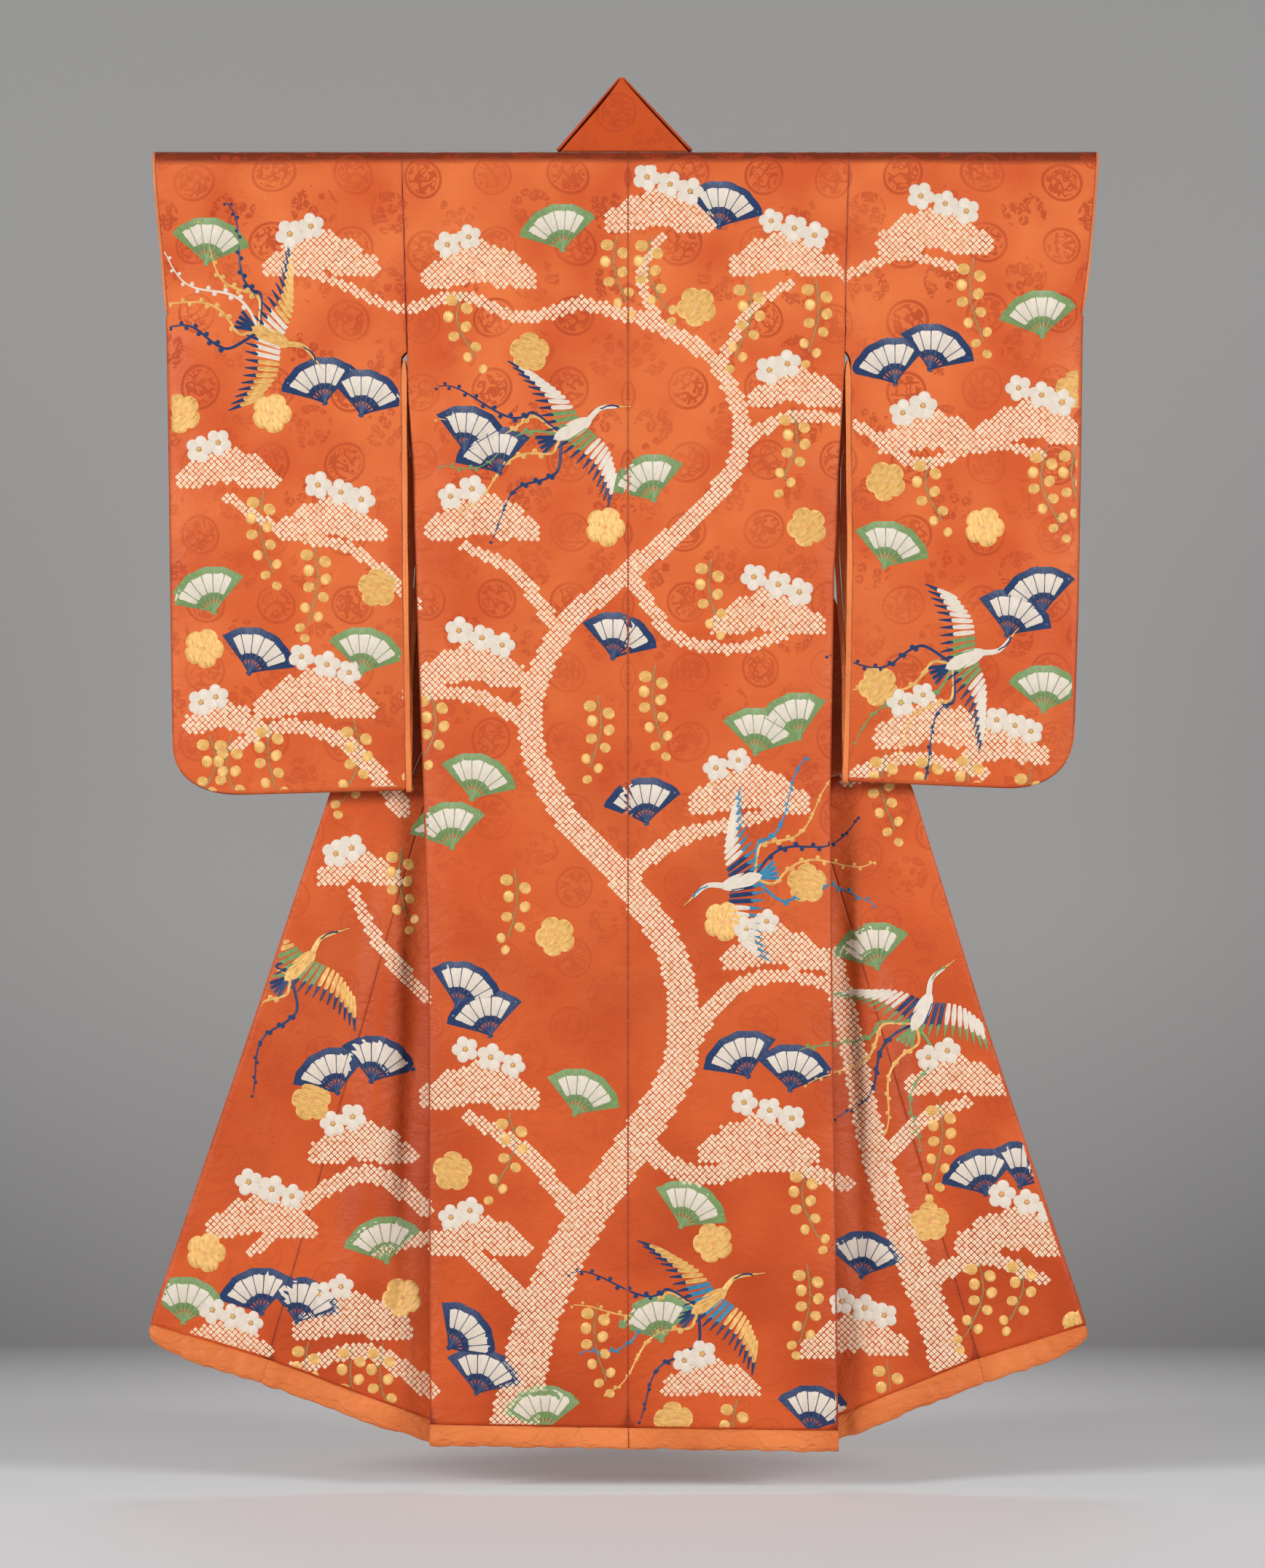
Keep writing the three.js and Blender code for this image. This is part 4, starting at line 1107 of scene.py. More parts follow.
for side in SIDES.values():
    for kind, node, path, wide in (("furi", "sleeve_lining", furi_edge, FURI_EDGE),
                                   ("wrist", "wrist_lining", wrist_edge, WRIST_EDGE)):
        at = path(side)
        across = 0 * at + [side["sign"], 0, 0]
        out = unit(np.cross(np.gradient(at, axis=0), across))
        wave = 1 + 0.07 * np.sin(np.arange(len(at)) / 2.7)
        made = carried(f"{kind}_edge_{side['name']}", at, across, out, wide * wave,
                       EDGE_THICK * wave, squareness=0.7)
        place(made, "lining_silk", f"{node}_{side['name']}")


# %% [markdown]
# ## Rod
# The rod is a turned and oiled softwood pole. Its ends show inside the wrist openings. Its solid is
# right as it is and takes a wood finish whose grain runs along it.

# %% Rod
def wood_shade(tree):
    """Long grain: noise stretched along the rod, between two browns."""
    long = add(tree, "VectorMath", add(tree, "TexCoord", out="Object"), (3, 90, 90), operation="MULTIPLY")
    grain = add(tree, "TexNoise", long, named={"Scale": 1.0, "Detail": 5.0, "Distortion": 0.4})
    share = add(tree, "MapRange", grain, 0.3, 0.7, 0.0, 1.0)
    colour = add(tree, "Mix", named={0: share, 6: linear("#9a7750"), 7: linear("#6f4f30")}, out=2,
                 data_type="RGBA")
    height = add(tree, "Math", grain, 0.0004, operation="MULTIPLY")
    return dict(Base_Color=colour, Normal=add(tree, "Bump", named={"Distance": 1.0, "Height": height}))


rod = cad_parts["rod"]
rod.data.materials.clear()
rod.data.materials.append(material("oiled_softwood", wood_shade, Roughness=0.5))
print("rod finished in", rod.data.materials[0].name)


# %% [markdown]
# ## Where stitches may lie
# The decoration is drawn once, as seen from behind, and laid on whichever panel is there. Each field
# is one panel: its edges, and the function that gives its outer face. A shape that crosses a seam is
# cut at the seam and goes on in the next panel.

# %% Fields
def fan_edges(side):
    """The free front edge and the hem of the turned-out front, mirrored to where they hang."""
    z = np.linspace(-1640, -700, 60)
    edge = np.array(mirrored(side, read(FRONT_EDGE, z, side["name"]), z))
    out = np.linspace(-150, 256, 60)
    hem = np.array(mirrored(side, out, read(FRONT_HEM, out, side["name"], "out")))
    return edge[:, np.argsort(edge[1])], hem[:, np.argsort(hem[0])]


def sleeve_field(side, hidden):
    """Inner, outer and lower limits of a sleeve's layer, and its outer face."""
    def inner(z):
        return np.where(z > ARMHOLE_END, read(BODY_EDGE, z, side["name"]) + 1,
                        read(SLEEVE_INNER, z, side["name"]) + FURI_EDGE + 1.5)

    slope = (side["sleeve_out"] - side["sleeve_in"]) / 300
    layer, facing = ("front", 1) if hidden else ("back", -1)
    return dict(name=f"sleeve_{layer}_{side['name']}", side=side, facing=facing, ceiling=-3,
                low=inner, high=lambda z: sleeve_outer(side, z) - 5,
                floor=lambda out: side["sleeve_in"] + slope * (out - 290) + 6,
                skin=lambda out, z: sleeve_skin(side, out, z, hidden))


def fields(side):
    """The four fields of one side: back, sleeve's back and front layers, turned-out front."""
    edge, hem = fan_edges(side)
    back = dict(name=f"back_{side['name']}", side=side, facing=-1, ceiling=-3,
                low=lambda z: 0 * z + 0.7, high=lambda z: read(BODY_EDGE, z, side["name"]) - 2,
                floor=lambda out: side["hem"] + middle_drop(side, out, side["hem"]) + 3,
                skin=lambda out, z: back_skin(side, out, z))
    fan = dict(name=f"front_{side['name']}", side=side, facing=-1, ceiling=-790,
               low=lambda z: read(BODY_EDGE, z, side["name"]) - 30,
               high=lambda z: np.interp(z, edge[1], edge[0]) - 4,
               floor=lambda out: np.interp(out, hem[0], hem[1]) + 4,
               skin=lambda out, z: front_skin(side, *mirrored(side, out, z)))
    return [back, fan, sleeve_field(side, False), sleeve_field(side, True)]


FIELDS = [field for side in SIDES.values() for field in fields(side)]
print("fields:", ", ".join(field["name"] for field in FIELDS))

# %% [markdown]
# ## Stitches
# Every stitched shape is a small grid whose rim is sunk just under the cloth and whose middle stands
# up: a round petal, a cord, or a panel. Kanoko points are four-sided, with an undyed square ring
# round a dyed middle. Shapes wait in a queue by thread and kind, and are laid all at once.

# %% Stitch kinds
SUNK = -0.25
KINDS = {
    "point": dict(rings=[1, 0.72, 0.34, 0], rise=[SUNK, 0.75, 0.45, 0.3], sides=4),
    "petal": dict(rings=[1, 0.9, 0.55, 0], rise=[SUNK, 0.4, 0.75, 0.85], sides=14),
    "disc": dict(rings=[1, 0.96, 0.8, 0.55, 0.25, 0], rise=[SUNK, 0.5, 0.85, 0.75, 0.9, 0.9], sides=40),
    "cord": dict(steps=14, rise=[SUNK, 0.7, SUNK]),
    "ribbon": dict(steps=44, rise=[SUNK, 0.65, 0.65, SUNK]),
    "panel": dict(steps=15, rise=[SUNK, 0.42, 0.5, 0.5, 0.42, SUNK]),
}
queue = {}


def turned(points, angle):
    """Points turned by an angle in radians."""
    x, z = points[..., 0], points[..., 1]
    return paired(x * np.cos(angle) - z * np.sin(angle), x * np.sin(angle) + z * np.cos(angle))


def wait(thread, kind, grids, grain, lift=0.0):
    """Puts shapes in the queue: (count, rows, columns, 2) places in mm, and their thread coordinates."""
    queue.setdefault((thread, kind), []).append((grids, grain, np.full(len(grids), float(lift))))


def rounds(thread, kind, centres, radii, turns=0.0, edge=None, lift=0.0):
    """Round shapes: rings of the kind's shares, times edge(angle), turned and moved to the centres."""
    centres = np.atleast_2d(np.array(centres, float))
    radii, turns = (np.broadcast_to(v, len(centres))[:, None, None] for v in (radii, turns))
    angle = np.linspace(0, 2 * np.pi, KINDS[kind]["sides"] + 1)
    shape = np.ones_like(angle) if edge is None else edge(angle)
    ring = np.array(KINDS[kind]["rings"])[:, None] * shape
    flat = paired(ring * np.cos(angle), ring * np.sin(angle)) * radii[..., None]
    wait(thread, kind, turned(flat, turns) + centres[:, None, None], flat, lift)


def through(points, count):
    """A smooth curve through given points: Catmull-Rom cubics at even shares."""
    p = np.array(points, float)
    p = np.concatenate([2 * p[:1] - p[1:2], p, 2 * p[-1:] - p[-2:-1]])
    share = np.linspace(0, len(p) - 3 - 1e-9, count)
    first, t = share.astype(int), (share % 1)[:, None]
    a, b, c, d = (p[first + k] for k in range(4))
    bend, twist = 2 * a - 5 * b + 4 * c - d, 3 * b - a - 3 * c + d
    return 0.5 * (2 * b + (c - a) * t + bend * t ** 2 + twist * t ** 3)


def cords(thread, paths, wide, kind="cord", lift=0.0):
    """Threads couched along paths: points set square to each path by half the width at each step."""
    steps, across = KINDS[kind]["steps"], len(KINDS[kind]["rise"])
    grids, grains = [], []
    for path in paths:
        p = through(path, steps)
        way = unit(np.gradient(p, axis=0))
        width = wide(np.linspace(0, 1, steps)) if callable(wide) else np.full(steps, wide)
        offset = np.linspace(-0.5, 0.5, across) * width[:, None]
        square = paired(-way[:, 1], way[:, 0])
        grids.append(p[:, None] + square[:, None] * offset[..., None])
        grains.append(paired(run_length(p)[:, None], offset))
    wait(thread, kind, np.array(grids), np.array(grains), lift)


print("stitch kinds:", ", ".join(KINDS))


# %% Laying stitches on the fields
def rise_of(kind, shape):
    """Heights of a kind's grid: along the rings of a round shape, or across a cord with sunk ends."""
    rise = np.array(KINDS[kind]["rise"])
    if "rings" in KINDS[kind]:
        return np.broadcast_to(rise[:, None], shape)
    heights = np.broadcast_to(rise, shape).copy()
    heights[0] = heights[-1] = SUNK
    return heights


def lay(field, grids, grain, lift, kind):
    """Shapes that touch a field, clipped to its edges and lifted off its outer face. Returns their
    points, cells, thread coordinates and the row of each cell."""
    side = field["side"]
    out, z = side["sign"] * grids[..., 0], grids[..., 1]
    within = (out > field["low"](z)) & (out < field["high"](z))
    within &= (z > field["floor"](out)) & (z < field["ceiling"])
    touched = within.any(axis=(1, 2))
    if not touched.any():
        return None
    out, z, within, grain, lift = (part[touched] for part in (out, z, within, grain, lift))
    z = np.minimum(z, field["ceiling"])
    out = np.clip(out, field["low"](z), np.maximum(field["high"](z), field["low"](z)))
    z = np.maximum(z, field["floor"](out))
    out = np.clip(out, field["low"](z), np.maximum(field["high"](z), field["low"](z)))
    skin, step = field["skin"], 0.6
    here = skin(out, z)
    normal = unit(np.cross(skin(out + step, z) - here, skin(out, z + step) - here))
    normal *= np.sign(normal[..., 1:2]) * field["facing"]
    rise = rise_of(kind, grids.shape[1:3]) + lift[:, None, None]
    rise = np.where(within, rise, SUNK)
    points = here + normal * rise[..., None]
    count, rows, columns = out.shape
    starts = (np.arange(count) * rows * columns)[:, None, None]
    cells = (grid_quads(rows, columns) + starts).reshape(-1, 4)
    flat = paired(side["sign"] * out, z).reshape(-1, 2)
    a, b, c, d = (flat[cells[:, k]] for k in range(4))
    area = ((c - a)[:, 0] * (d - b)[:, 1] - (c - a)[:, 1] * (d - b)[:, 0]) / 2
    kept = np.abs(area) > 0.01
    row = np.tile(np.repeat(np.arange(rows - 1), columns - 1), count)
    cells = np.where((area * field["facing"] < 0)[:, None], cells, cells[:, ::-1])
    return points.reshape(-1, 3), cells[kept], grain.reshape(-1, 2), row[kept]


def stitch_field(field):
    """Two pieces a field: its tie-dye, and all its embroidery joined, a finish to each thread."""
    groups = {"kanoko": ["dyed", "core"], "embroidery": [name for name in threads if name != "dyed"]}
    for group, names in groups.items():
        points, cells, grain, finish, start = [], [], [], [], 0
        for (thread, kind), shapes in queue.items():
            if (thread == "dyed") != (group == "kanoko"):
                continue
            laid = lay(field, *(np.concatenate([s[k] for s in shapes]) for k in range(3)), kind)
            if laid is None:
                continue
            points.append(laid[0])
            cells.append(laid[1] + start)
            grain.append(laid[2])
            middle = (laid[3] == 2) if kind == "point" else np.zeros(len(laid[1]), bool)
            finish.append(np.where(middle, 1, names.index(thread)))
            start += len(laid[0])
        if not points:
            continue
        cells, grain = np.concatenate(cells), np.concatenate(grain)
        made = build(f"{group}_{field['name']}", np.concatenate(points), cells, grain[cells],
                     [threads[name] for name in names], np.concatenate(finish))
        place(made, "embroidery")
        made.data.calc_loop_triangles()
        print(made.name, len(made.data.loop_triangles), "triangles")


# %% [markdown]
# ## The design
# An old pine winds up the back in kanoko tie-dye, with boughs like small clouds. Wisteria hangs from
# the boughs in couched gold, and white plum blossom, open fans, gold flowers and flying cranes with
# ribbons fill the ground. All are common festive motifs. Places are in mm as seen from behind.

# %% Pine in tie-dye
KANOKO_PITCH = 5.8
POINT_RADIUS = 3.5
TRUNKS = [  # paths of x, z, width
    [(-158, -1700, 66), (-146, -1640, 62), (-118, -1520, 56), (-60, -1400, 52), (10, -1290, 48),
     (70, -1180, 44), (60, -1050, 40), (-10, -940, 38), (-90, -850, 34), (-130, -740, 32),
     (-90, -620, 30), (0, -540, 28), (95, -460, 26), (150, -370, 24), (120, -270, 22), (40, -215, 20),
     (-60, -185, 18)],
    [(462, -1720, 56), (430, -1600, 50), (388, -1480, 44), (330, -1320, 38), (300, -1180, 34),
     (270, -1050, 30)],
    [(-118, -1520, 30), (-190, -1452, 24), (-250, -1420, 20), (-330, -1440, 16)],
    [(10, -1290, 30), (90, -1336, 26), (190, -1318, 22), (290, -1350, 20)],
    [(70, -1180, 26), (130, -1096, 22), (200, -1072, 18), (290, -1090, 16)],
    [(-60, -1400, 28), (-130, -1310, 22), (-210, -1258, 16)],
    [(-10, -940, 26), (70, -890, 22), (150, -868, 18), (222, -848, 14)],
    [(-130, -740, 24), (-200, -704, 20), (-290, -700, 16)],
    [(-90, -620, 22), (-150, -540, 18), (-215, -506, 14)],
    [(0, -540, 22), (60, -622, 18), (140, -640, 16), (205, -622, 14)],
    [(150, -370, 20), (214, -334, 16), (300, -346, 16), (384, -396, 16), (470, -372, 14),
     (545, -384, 12)],
    [(120, -270, 18), (160, -196, 14), (214, -158, 12)],
    [(-60, -185, 18), (-140, -204, 16), (-220, -176, 15), (-300, -192, 14), (-380, -160, 12),
     (-440, -140, 10)],
    [(40, -215, 16), (18, -150, 14), (44, -100, 12)],
    [(-280, -580, 18), (-360, -512, 16), (-450, -488, 14), (-530, -440, 12)],
    [(-300, -850, 26), (-366, -770, 22), (-450, -742, 18), (-520, -770, 14)],
    [(285, -150, 14), (356, -124, 13), (430, -136, 12)],
    [(290, -812, 22), (376, -784, 18), (470, -806, 14)],
    [(-270, -1380, 26), (-340, -1336, 24), (-416, -1366, 20), (-500, -1440, 16)],
    [(-262, -1620, 28), (-350, -1570, 22), (-450, -1596, 18), (-540, -1590, 14)],
    [(-270, -1100, 22), (-330, -1030, 18), (-366, -960, 14)],
    [(388, -1480, 28), (470, -1448, 22), (552, -1476, 16)],
    [(330, -1320, 24), (396, -1262, 20), (450, -1240, 14)],
]
BOUGH = [(-56, -5, 21), (-30, 9, 25), (0, 16, 28), (30, 7, 26), (57, -7, 20)]  # shift, rise, radius
BOUGHS = [  # x, z, size
    (-196, -1425, 0.9), (172, -1300, 1.05), (196, -1046, 0.95), (-196, -1230, 1.05), (160, -838, 1.05),
    (-206, -672, 0.95), (-192, -478, 1.0), (184, -604, 1.0), (222, -306, 0.85), (206, -132, 0.95),
    (-196, -146, 1.0), (42, -74, 0.95), (-404, -132, 1.0), (-392, -480, 0.95), (-528, -412, 0.9),
    (-412, -712, 1.05), (-534, -738, 0.7), (404, -102, 1.0), (402, -366, 0.95), (532, -352, 0.95),
    (404, -752, 1.05), (500, -778, 0.75), (-352, -1306, 0.95), (-486, -1402, 0.95), (-366, -1536, 1.05),
    (-536, -1566, 0.85), (-356, -940, 0.75), (514, -1424, 1.05), (436, -1216, 0.9), (300, -1560, 0.95),
    (110, -1612, 0.85),
]


def near_path(spots, path):
    """Which spots lie within half the width of a smooth path of (x, z, width)."""
    steps = int(sum(math.dist(a[:2], b[:2]) for a, b in zip(path, path[1:])) / 6)
    line = through(path, steps)
    low, high = line[:, :2].min(axis=0) - 40, line[:, :2].max(axis=0) + 40
    near = np.nonzero(((spots > low) & (spots < high)).all(axis=1))[0]
    gap = np.linalg.norm(spots[near][:, None] - line[None, :, :2], axis=2) - line[:, 2] / 2
    inside = np.zeros(len(spots), bool)
    inside[near[gap.min(axis=1) < 0]] = True
    return inside


def in_bough(spots, x, z, size):
    """Which spots lie in a bough: five discs side by side on a flat foot."""
    away, up = spots[:, 0] - x, spots[:, 1] - z
    gaps = [np.hypot(away - shift * size, up - rise * size) - reach * size for shift, rise, reach in BOUGH]
    return (np.min(gaps, axis=0) < 0) & (up > -19 * size)


across, down = np.meshgrid(np.arange(-160, 161), np.arange(-414, -1))
spots = paired(across, down)[(across + down) % 2 == 0] * (KANOKO_PITCH / math.sqrt(2))
in_trunks = [near_path(spots, path) for path in TRUNKS]
in_boughs = [in_bough(spots, *bough) for bough in BOUGHS]
spots = spots[np.any(in_trunks + in_boughs, axis=0)]
draw = np.random.default_rng(21)
shaken = spots + draw.normal(0, 0.22, spots.shape)
sizes = POINT_RADIUS * draw.uniform(0.93, 1.05, len(spots))
rounds("dyed", "point", shaken, sizes, draw.normal(0, 0.06, len(spots)))
print("kanoko points:", len(spots))


# %% Places of the embroidery
FANS = [  # x, z, turn in degrees, outline
    (-200, -1590, 20, "navy"), (-236, -1530, 50, "navy"), (44, -1520, -14, "green"),
    (214, -1190, 12, "navy"), (158, -1172, -22, "navy"), (-70, -1222, 22, "green"),
    (-182, -1118, -16, "navy"), (-226, -1080, 26, "navy"), (24, -838, -10, "navy"),
    (-206, -806, 18, "green"), (-232, -870, -14, "green"), (226, -726, -24, "green"),
    (168, -746, 14, "green"), (34, -412, -20, "green"), (-216, -348, 22, "navy"),
    (-170, -376, -18, "navy"), (120, -52, 16, "navy"), (-86, -82, -14, "green"), (70, -1370, 26, "green"),
    (-20, -620, 18, "navy"), (-352, -300, 18, "navy"), (-400, -284, -16, "navy"),
    (-546, -560, -20, "green"), (-352, -640, 14, "green"), (-556, -100, 10, "green"),
    (-500, -640, 24, "navy"), (352, -258, -18, "navy"), (398, -240, 20, "navy"),
    (546, -196, -10, "green"), (338, -500, 20, "green"), (548, -560, -16, "navy"),
    (500, -590, 22, "navy"), (548, -690, 8, "green"), (-340, -1180, 18, "navy"),
    (-386, -1196, -20, "navy"), (-320, -1420, -12, "green"), (-440, -1500, 20, "navy"),
    (-486, -1488, -14, "navy"), (-590, -1500, 8, "green"), (330, -1030, -16, "green"),
    (520, -1320, 20, "navy"), (474, -1330, -18, "navy"), (540, -1600, -8, "green"),
    (592, -1590, 24, "green"), (310, -1440, 10, "navy"), (-110, -1640, -8, "green"),
    (240, -1640, 14, "navy"),
]
GOLD_FLOWERS = [  # x, z
    (112, -1424), (-232, -1330), (126, -1000), (-96, -1020), (236, -950), (-30, -480), (236, -480),
    (-130, -250), (-470, -330), (-590, -330), (-330, -560), (-560, -640), (340, -420), (590, -300),
    (470, -480), (330, -690), (-420, -1240), (-560, -1440), (-300, -1500), (400, -1400), (600, -1540),
    (90, -190), (60, -1660),
]
CRANES = [  # x, z, turn in degrees, mirrored, plumage, feather tips, second colour
    (-70, -352, 24, 1, "white", "navy", "green"), (148, -950, 200, -1, "white", "blue", "navy"),
    (110, -1502, 30, 1, "gold", "navy", "blue"), (-470, -232, -30, 1, "gold", "navy", "white"),
    (446, -652, 28, -1, "white", "navy", "green"), (392, -1120, 60, 1, "white", "green", "navy"),
    (-432, -1060, 40, 1, "gold", "navy", "green"),
]
RACEMES_EXTRA = [  # x, z, length, sway
    (-40, -1500, 120, 16), (40, -1460, 110, -12), (-232, -1560, 90, 8), (236, -1450, 120, -14),
    (-20, -1140, 110, -16), (-236, -1010, 120, 14), (-150, -930, 105, -12), (36, -660, 120, 14),
    (-40, -700, 110, -14), (110, -520, 100, 12), (-110, -300, 110, -12), (60, -300, 105, 14),
    (-470, -560, 115, 14), (-580, -520, 105, -10), (-330, -330, 120, 12), (-560, -250, 110, -14),
    (340, -170, 110, 12), (560, -480, 120, -12), (470, -520, 110, 14), (330, -600, 120, -14),
    (580, -150, 100, 10), (350, -1640, 80, 0), (-420, -1460, 110, 14), (590, -1500, 110, -12),
    (340, -900, 120, 12), (400, -1020, 110, -10), (-300, -900, 110, 10), (-310, -1450, 105, -12),
]
taken = [(x, z, reach) for table, reach in ((CRANES, 84), (FANS, 46), (GOLD_FLOWERS, 28))
         for x, z, *_ in table]


def free(x, z, reach, tall=0.0):
    """Whether a shape's box keeps clear of everything placed so far. If so, it is placed."""
    clear = all(abs(x - a) > reach + r or abs(z - b) > reach + tall + r for a, b, r in taken)
    if clear:
        taken.append((x, z, reach))
    return clear


print(len(FANS), "fans,", len(GOLD_FLOWERS), "gold flowers,", len(CRANES), "cranes")


# %% Wisteria and plum blossom
def raceme(x, z, length, sway):
    """A hanging raceme: a curved green stem with round gold petals on short stalks, left and right by
    turns and smaller towards the tip."""
    if not free(x + sway / 2, z - length / 2, 15, length / 2 - 15):
        return
    line = through([(x, z), (x - 0.25 * sway, z - 0.45 * length), (x + sway, z - length)], 60)
    cords("green", [line[::6]], 1.7)
    count = int(length / 12)
    share = np.linspace(0.14, 1, count)
    size = lerp(8.4, 6.2, share)
    way = np.where(np.arange(count) % 2, 1, -1)
    way[-1] = 0
    root = line[(share * 59).astype(int)]
    petals = root + paired(way * (size + 3.6), -3.0)
    cords("green", list(np.stack([root + [0, 3], (root + petals) / 2, petals], 1)), 1.2)
    rounds("gold", "petal", petals, size, 2.4 * np.arange(count), lift=0.25,
           edge=lambda a: 1 + 0.07 * np.cos(2 * a))


def blossom(x, z, turn, size):
    """A white plum blossom: five round petals about a small gold middle."""
    taken.append((x, z, 13))
    angle = turn + 2 * np.pi * np.arange(5) / 5
    petals = 8.0 * size * paired(np.cos(angle), np.sin(angle)) + [x, z]
    rounds("white", "petal", petals, 6.5 * size, angle, lift=0.35, edge=lambda a: 1 + 0.12 * np.cos(a))
    rounds("gold", "petal", [(x, z)], 2.3 * size, lift=0.9)


draw = np.random.default_rng(33)
for number, (x, z, size) in enumerate(BOUGHS):
    lean = 1 if number % 2 else -1
    for shift, rise in [(lean * 14, 48), (lean * 42, 38), (-lean * 18, 58)][:2 + number % 2]:
        blossom(x + shift * size, z + rise * size, draw.uniform(0, 6), draw.uniform(1.1, 1.3))
for number, (x, z, size) in enumerate(BOUGHS):
    for shift in [(-54, 42, 0), (-24, 56, 20), (50, -8, -60)][number % 3]:
        raceme(x + shift * size + draw.normal(0, 4), z - 20 * size, draw.uniform(96, 140),
               draw.choice([-1, 1]) * draw.uniform(12, 30))
for row in RACEMES_EXTRA:
    raceme(*row)
print("racemes and blossoms laid for", len(BOUGHS), "boughs")


# %% Fans and gold flowers
FAN_SWEEP = np.radians(54)


def arc_panel(thread, x, z, turn, inner, outer, sweep, lift):
    """A ring's sector: rows along the sweep, columns across the radius."""
    rows, columns = KINDS["panel"]["steps"], len(KINDS["panel"]["rise"])
    angle = np.linspace(-sweep, sweep, rows)[:, None] + np.pi / 2 - turn
    radius = np.linspace(inner, outer, columns) * (1 + 0.015 * np.cos(14 * angle))
    grid = paired(x + radius * np.cos(angle), z + radius * np.sin(angle))
    wait(thread, "panel", grid[None], paired(radius, angle * outer)[None], lift)


def open_fan(x, z, turn, outline):
    """An open folding fan: coloured rim, white leaf, coloured folds and bare ribs down to the rivet."""
    turn = math.radians(turn)
    z = z - 32
    arc_panel(outline, x, z, turn, 17, 60, FAN_SWEEP + 0.1, 0.35)
    arc_panel("white", x, z, turn, 21.5, 55, FAN_SWEEP, 0.6)
    ribs = np.linspace(-FAN_SWEEP, FAN_SWEEP, 7) + np.pi / 2 - turn
    way = paired(np.cos(ribs), np.sin(ribs))
    root = np.array([x, z])
    cords(outline, [[root + 20 * w, root + 38 * w, root + 55 * w] for w in way[1:-1]], 2.3, lift=0.85)
    cords(outline, [[root - 4 * w, root + 9 * w, root + 20 * w] for w in way], 3.0, lift=0.45)


def gold_flower(x, z, turn):
    """A large gold plum flower seen flat: five lobes, a raised middle and couched lines between them."""
    rounds("gold", "disc", [(x, z)], 27, turn, edge=lambda a: 0.8 + 0.2 * np.abs(np.cos(2.5 * a)) ** 0.5)
    ways = turn + np.pi * (2 * np.arange(5) + 1) / 5
    lines = [[(x + r * math.cos(w), z + r * math.sin(w)) for r in (6, 11, 17)] for w in ways]
    cords("core", lines, 1.5, lift=0.55)
    rounds("core", "petal", [(x, z)], 3.2, lift=0.6)


for fan in FANS:
    open_fan(*fan)
for number, (x, z) in enumerate(GOLD_FLOWERS):
    gold_flower(x, z, 0.7 + 2.1 * number)
print(len(FANS), "fans and", len(GOLD_FLOWERS), "gold flowers")


# %% Cranes
LEADING = [[(12, 6), (6, 44), (-16, 82)], [(16, -4), (30, -38), (26, -74)]]


def crane(x, z, degrees, mirror, plumage, tips, second):
    """A flying crane: fat cords for body and neck, rows of feathers off two wings, and ribbons."""
    def at(points):
        spun = turned(np.array(points, float) * [1, mirror], math.radians(degrees))
        return spun + [x, z]

    strokes = {plumage: [], tips: [], second: []}
    for wing, lead in enumerate(LEADING):
        root = through(lead, 11)
        back = paired(np.linspace(-34, -20, 11), np.linspace(6, 26, 11) * (-1 if wing else 1))
        for share, (start, way) in enumerate(zip(root, back)):
            tone = second if share < 3 else plumage
            strokes[tone].append(at([start, start + way * 0.5, start + way]))
            strokes[tips].append(at([start + way * 0.86, start + way * 1.15, start + way * 1.42]))
    cords(plumage, strokes[plumage], lambda s: 6.4 * np.sin(np.pi * (0.1 + 0.86 * s)) ** 0.5, lift=0.3)
    cords(second, strokes[second], 6.0, lift=0.35)
    cords(tips, strokes[tips], lambda s: 5.4 * (1 - 0.75 * s), lift=0.45)
    cords(tips, [at([(-22, 0), (-38, k * 5), (-52, k * 10)]) for k in (-1.2, -0.4, 0.4, 1.2)], 5, lift=0.3)
    cords(plumage, [at([(-32, 0), (0, 2), (27, 4)])], lambda s: 21 * np.sin(np.pi * s) ** 0.6, lift=0.9)
    cords(plumage, [at([(20, 4), (42, 12), (64, 5)])], lambda s: 8 - 3.6 * s, lift=0.9)
    cords(tips, [at([(40, 12), (54, 10), (66, 4)])], 3.2, lift=1.15)
    cords("gold", [at([(64, 5), (72, 1), (80, -2)])], lambda s: 3 - 2 * s, lift=0.9)
    for way, tone in ((-0.62, tips), (-0.2, "gold"), (0.2, second), (0.6, "gold"), (0.95, tips)):
        length = 150 - 50 * abs(way)
        share = np.linspace(0, 1, 8)
        wave = paired(-40 - length * share, way * (40 + 85 * share) + 13 * np.sin(6 * share + 3 * way))
        path = at([(-20, 2 * way), *wave])
        cords(tone, [path], lambda s: 4.8 - 3.2 * s, kind="ribbon", lift=0.1)
        leaves = through(path, 16)[3:]
        shift = np.where(np.arange(13) % 2, 3.4, -3.4)[:, None] * [0.5, 0.9]
        rounds(tone, "petal", leaves + shift, np.linspace(3.8, 2.2, 13), lift=-0.05)


for bird in CRANES:
    crane(*bird)
for field in FIELDS:
    stitch_field(field)


# %% [markdown]
# ## Floor, backdrop and light
# One sheet of paper runs along the floor and sweeps up behind. Painted light makes it pale on the
# floor, and it is grey above, with painted shade darkest at the foot of the wall. Two wide soft lights
# stand far out to the left and right, so that folds throw shade, and a weak sky fills it. A small
# light behind serves only views of the front.

# %% Floor and backdrop
FLOOR = -1752
SWEEP_START = 900
SWEEP_RADIUS = 900
WALL_TOP = 2600
HALF_WIDE = 6000


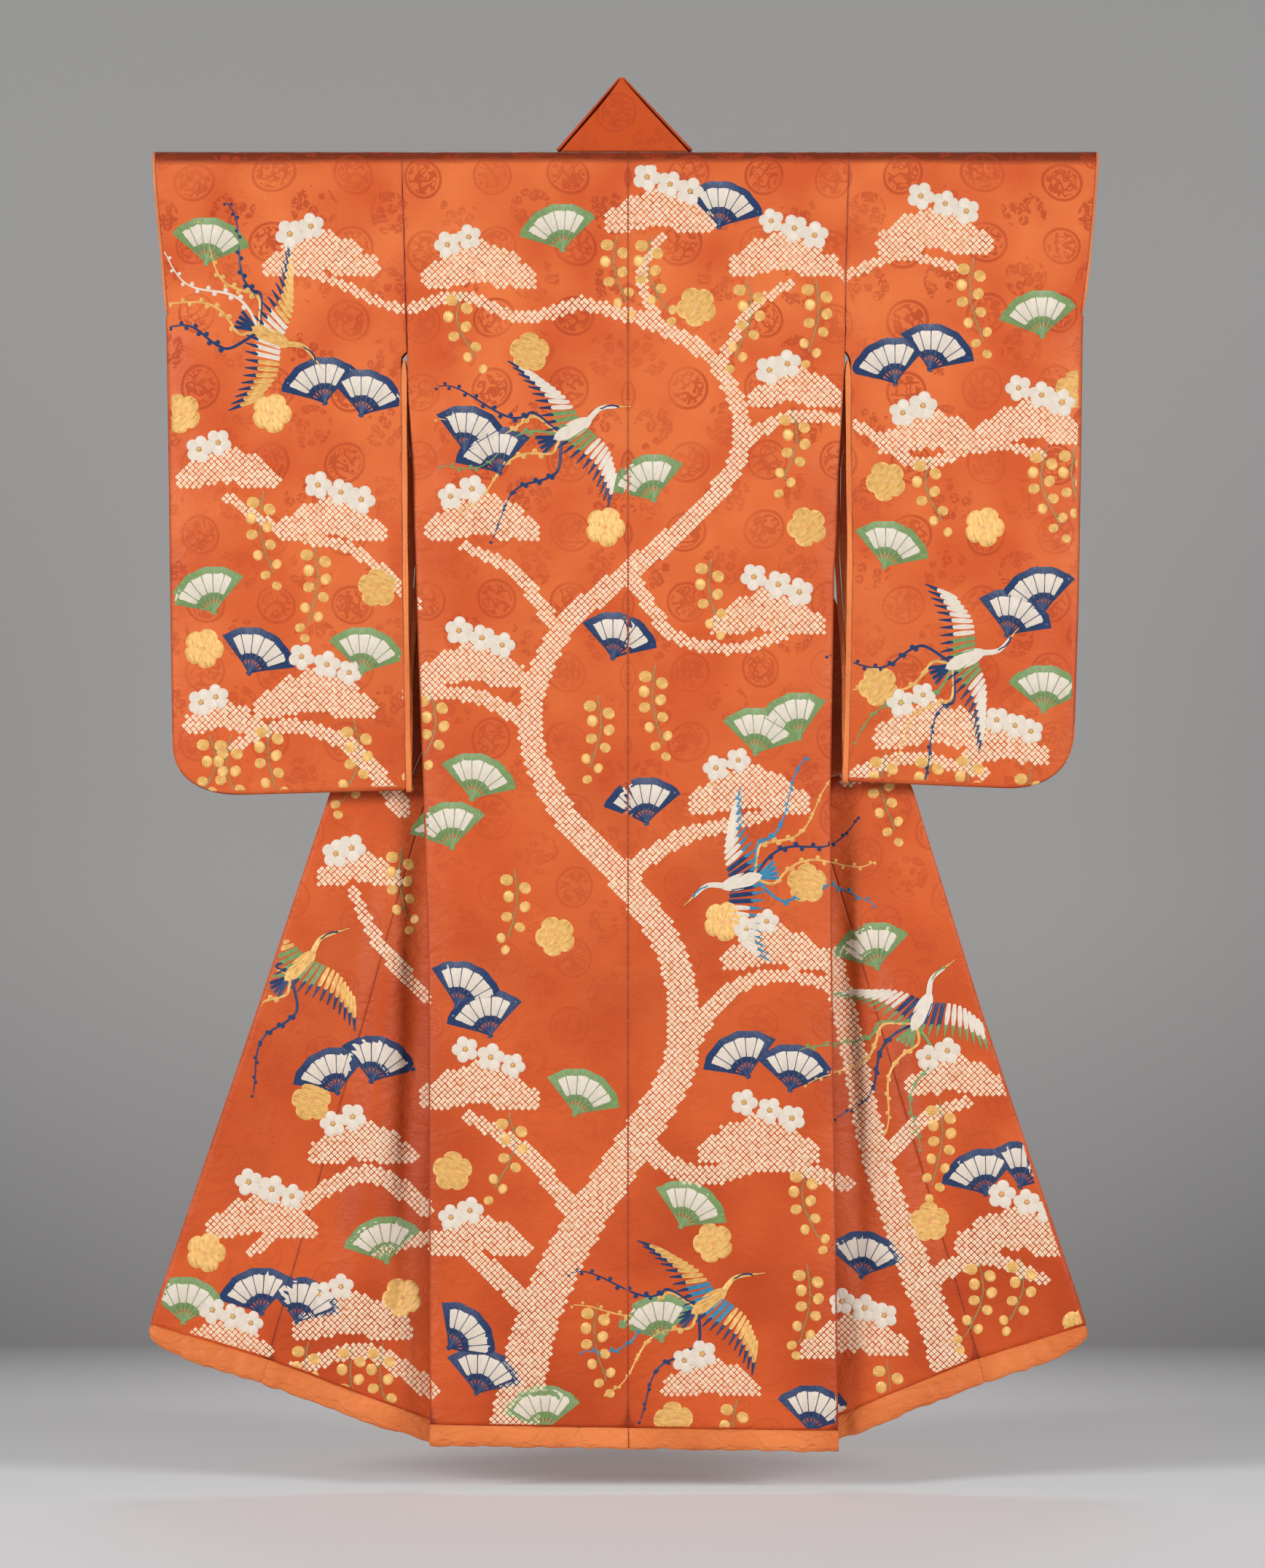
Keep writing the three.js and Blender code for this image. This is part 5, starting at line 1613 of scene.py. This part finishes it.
def paper_shade(tree):
    """Painted light makes the floor pale; the paper turns grey as it rises, with painted shade darkest
    low on the wall. It is clear from behind, for views from there.
    """
    height = add(tree, "SeparateXYZ", add(tree, "TexCoord", out="Object"), out=2)
    # by height: painted light on the floor, painted shade at the foot of the wall, lighter grey above
    bend = add(tree, "MapRange", height, FLOOR * MM, FLOOR * MM + 0.07, 0.0, 1.0)
    share = add(tree, "MapRange", height, FLOOR * MM + 0.1, FLOOR * MM + 0.8, 0.0, 1.0,
                interpolation_type="SMOOTHSTEP")
    wall = add(tree, "Mix", named={0: share, 6: linear("#8f8f8f"), 7: linear("#a0a09f")}, out=2,
               data_type="RGBA")
    tone = add(tree, "Mix", named={0: bend, 6: linear("#e6e7e9"), 7: wall}, out=2, data_type="RGBA")
    facing_away = add(tree, "NewGeometry", out="Backfacing")
    return dict(Base_Color=tone, Alpha=add(tree, "Math", 1.0, facing_away, operation="SUBTRACT"))


paper = material("backdrop_paper", paper_shade, Roughness=0.9, Specular_IOR_Level=0.2)
bend = np.linspace(0, np.pi / 2, 24)
profile = np.concatenate([
    [[-9000, FLOOR], [0, FLOOR]],
    paired(SWEEP_START + SWEEP_RADIUS * np.sin(bend), FLOOR + SWEEP_RADIUS * (1 - np.cos(bend))),
    [[SWEEP_START + SWEEP_RADIUS, WALL_TOP]],
])
across = np.linspace(-HALF_WIDE, HALF_WIDE, 9)
points = paired(across, profile[:, :1], profile[:, 1:])
flat = paired(across, run_length(profile)[:, None])
backdrop = sew("backdrop", [(points, flat, 0 * points[..., 0])], (0, 0, 1), paper, paper, wall=0)
backdrop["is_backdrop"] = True
print("backdrop sweeps up", SWEEP_START / 1000, "m behind the rod")

# %% Lights
LIGHTS = [("light_left", (-4.7, -4.0, 0.9), 2.2, 100), ("light_right", (4.7, -4.0, 0.7), 2.2, 90),
          ("light_behind", (0.0, 1.7, 0.4), 1.5, 6)]
AIM = (0.0, 0.0, -0.85)
SPREAD = 110
for name, spot, size, power in LIGHTS:
    lamp = bpy.data.objects.new(name, bpy.data.lights.new(name, "AREA"))
    lamp.data.shape = "DISK"
    lamp.data.size = size
    lamp.data.spread = math.radians(SPREAD)
    lamp.data.energy = power
    lamp.location = spot
    lamp.visible_camera = False
    way = np.array(AIM) - spot
    lamp.rotation_euler = Vector(way).to_track_quat("-Z", "Y").to_euler()
    bpy.context.scene.collection.objects.link(lamp)
sky = bpy.data.worlds.new("sky")
bpy.context.scene.world = sky
sky.use_nodes = True
sky.node_tree.nodes["Background"].inputs["Color"].default_value = linear("#f2f2f4")
sky.node_tree.nodes["Background"].inputs["Strength"].default_value = 0.22
bpy.context.scene.view_settings.view_transform = "Standard"
print("lights:", len(LIGHTS))

# %% Measure and finish
size = {"cad": [list(corner) for corner in cad_box], "visual": [list(corner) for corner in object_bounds()]}
print("sizes:", size)
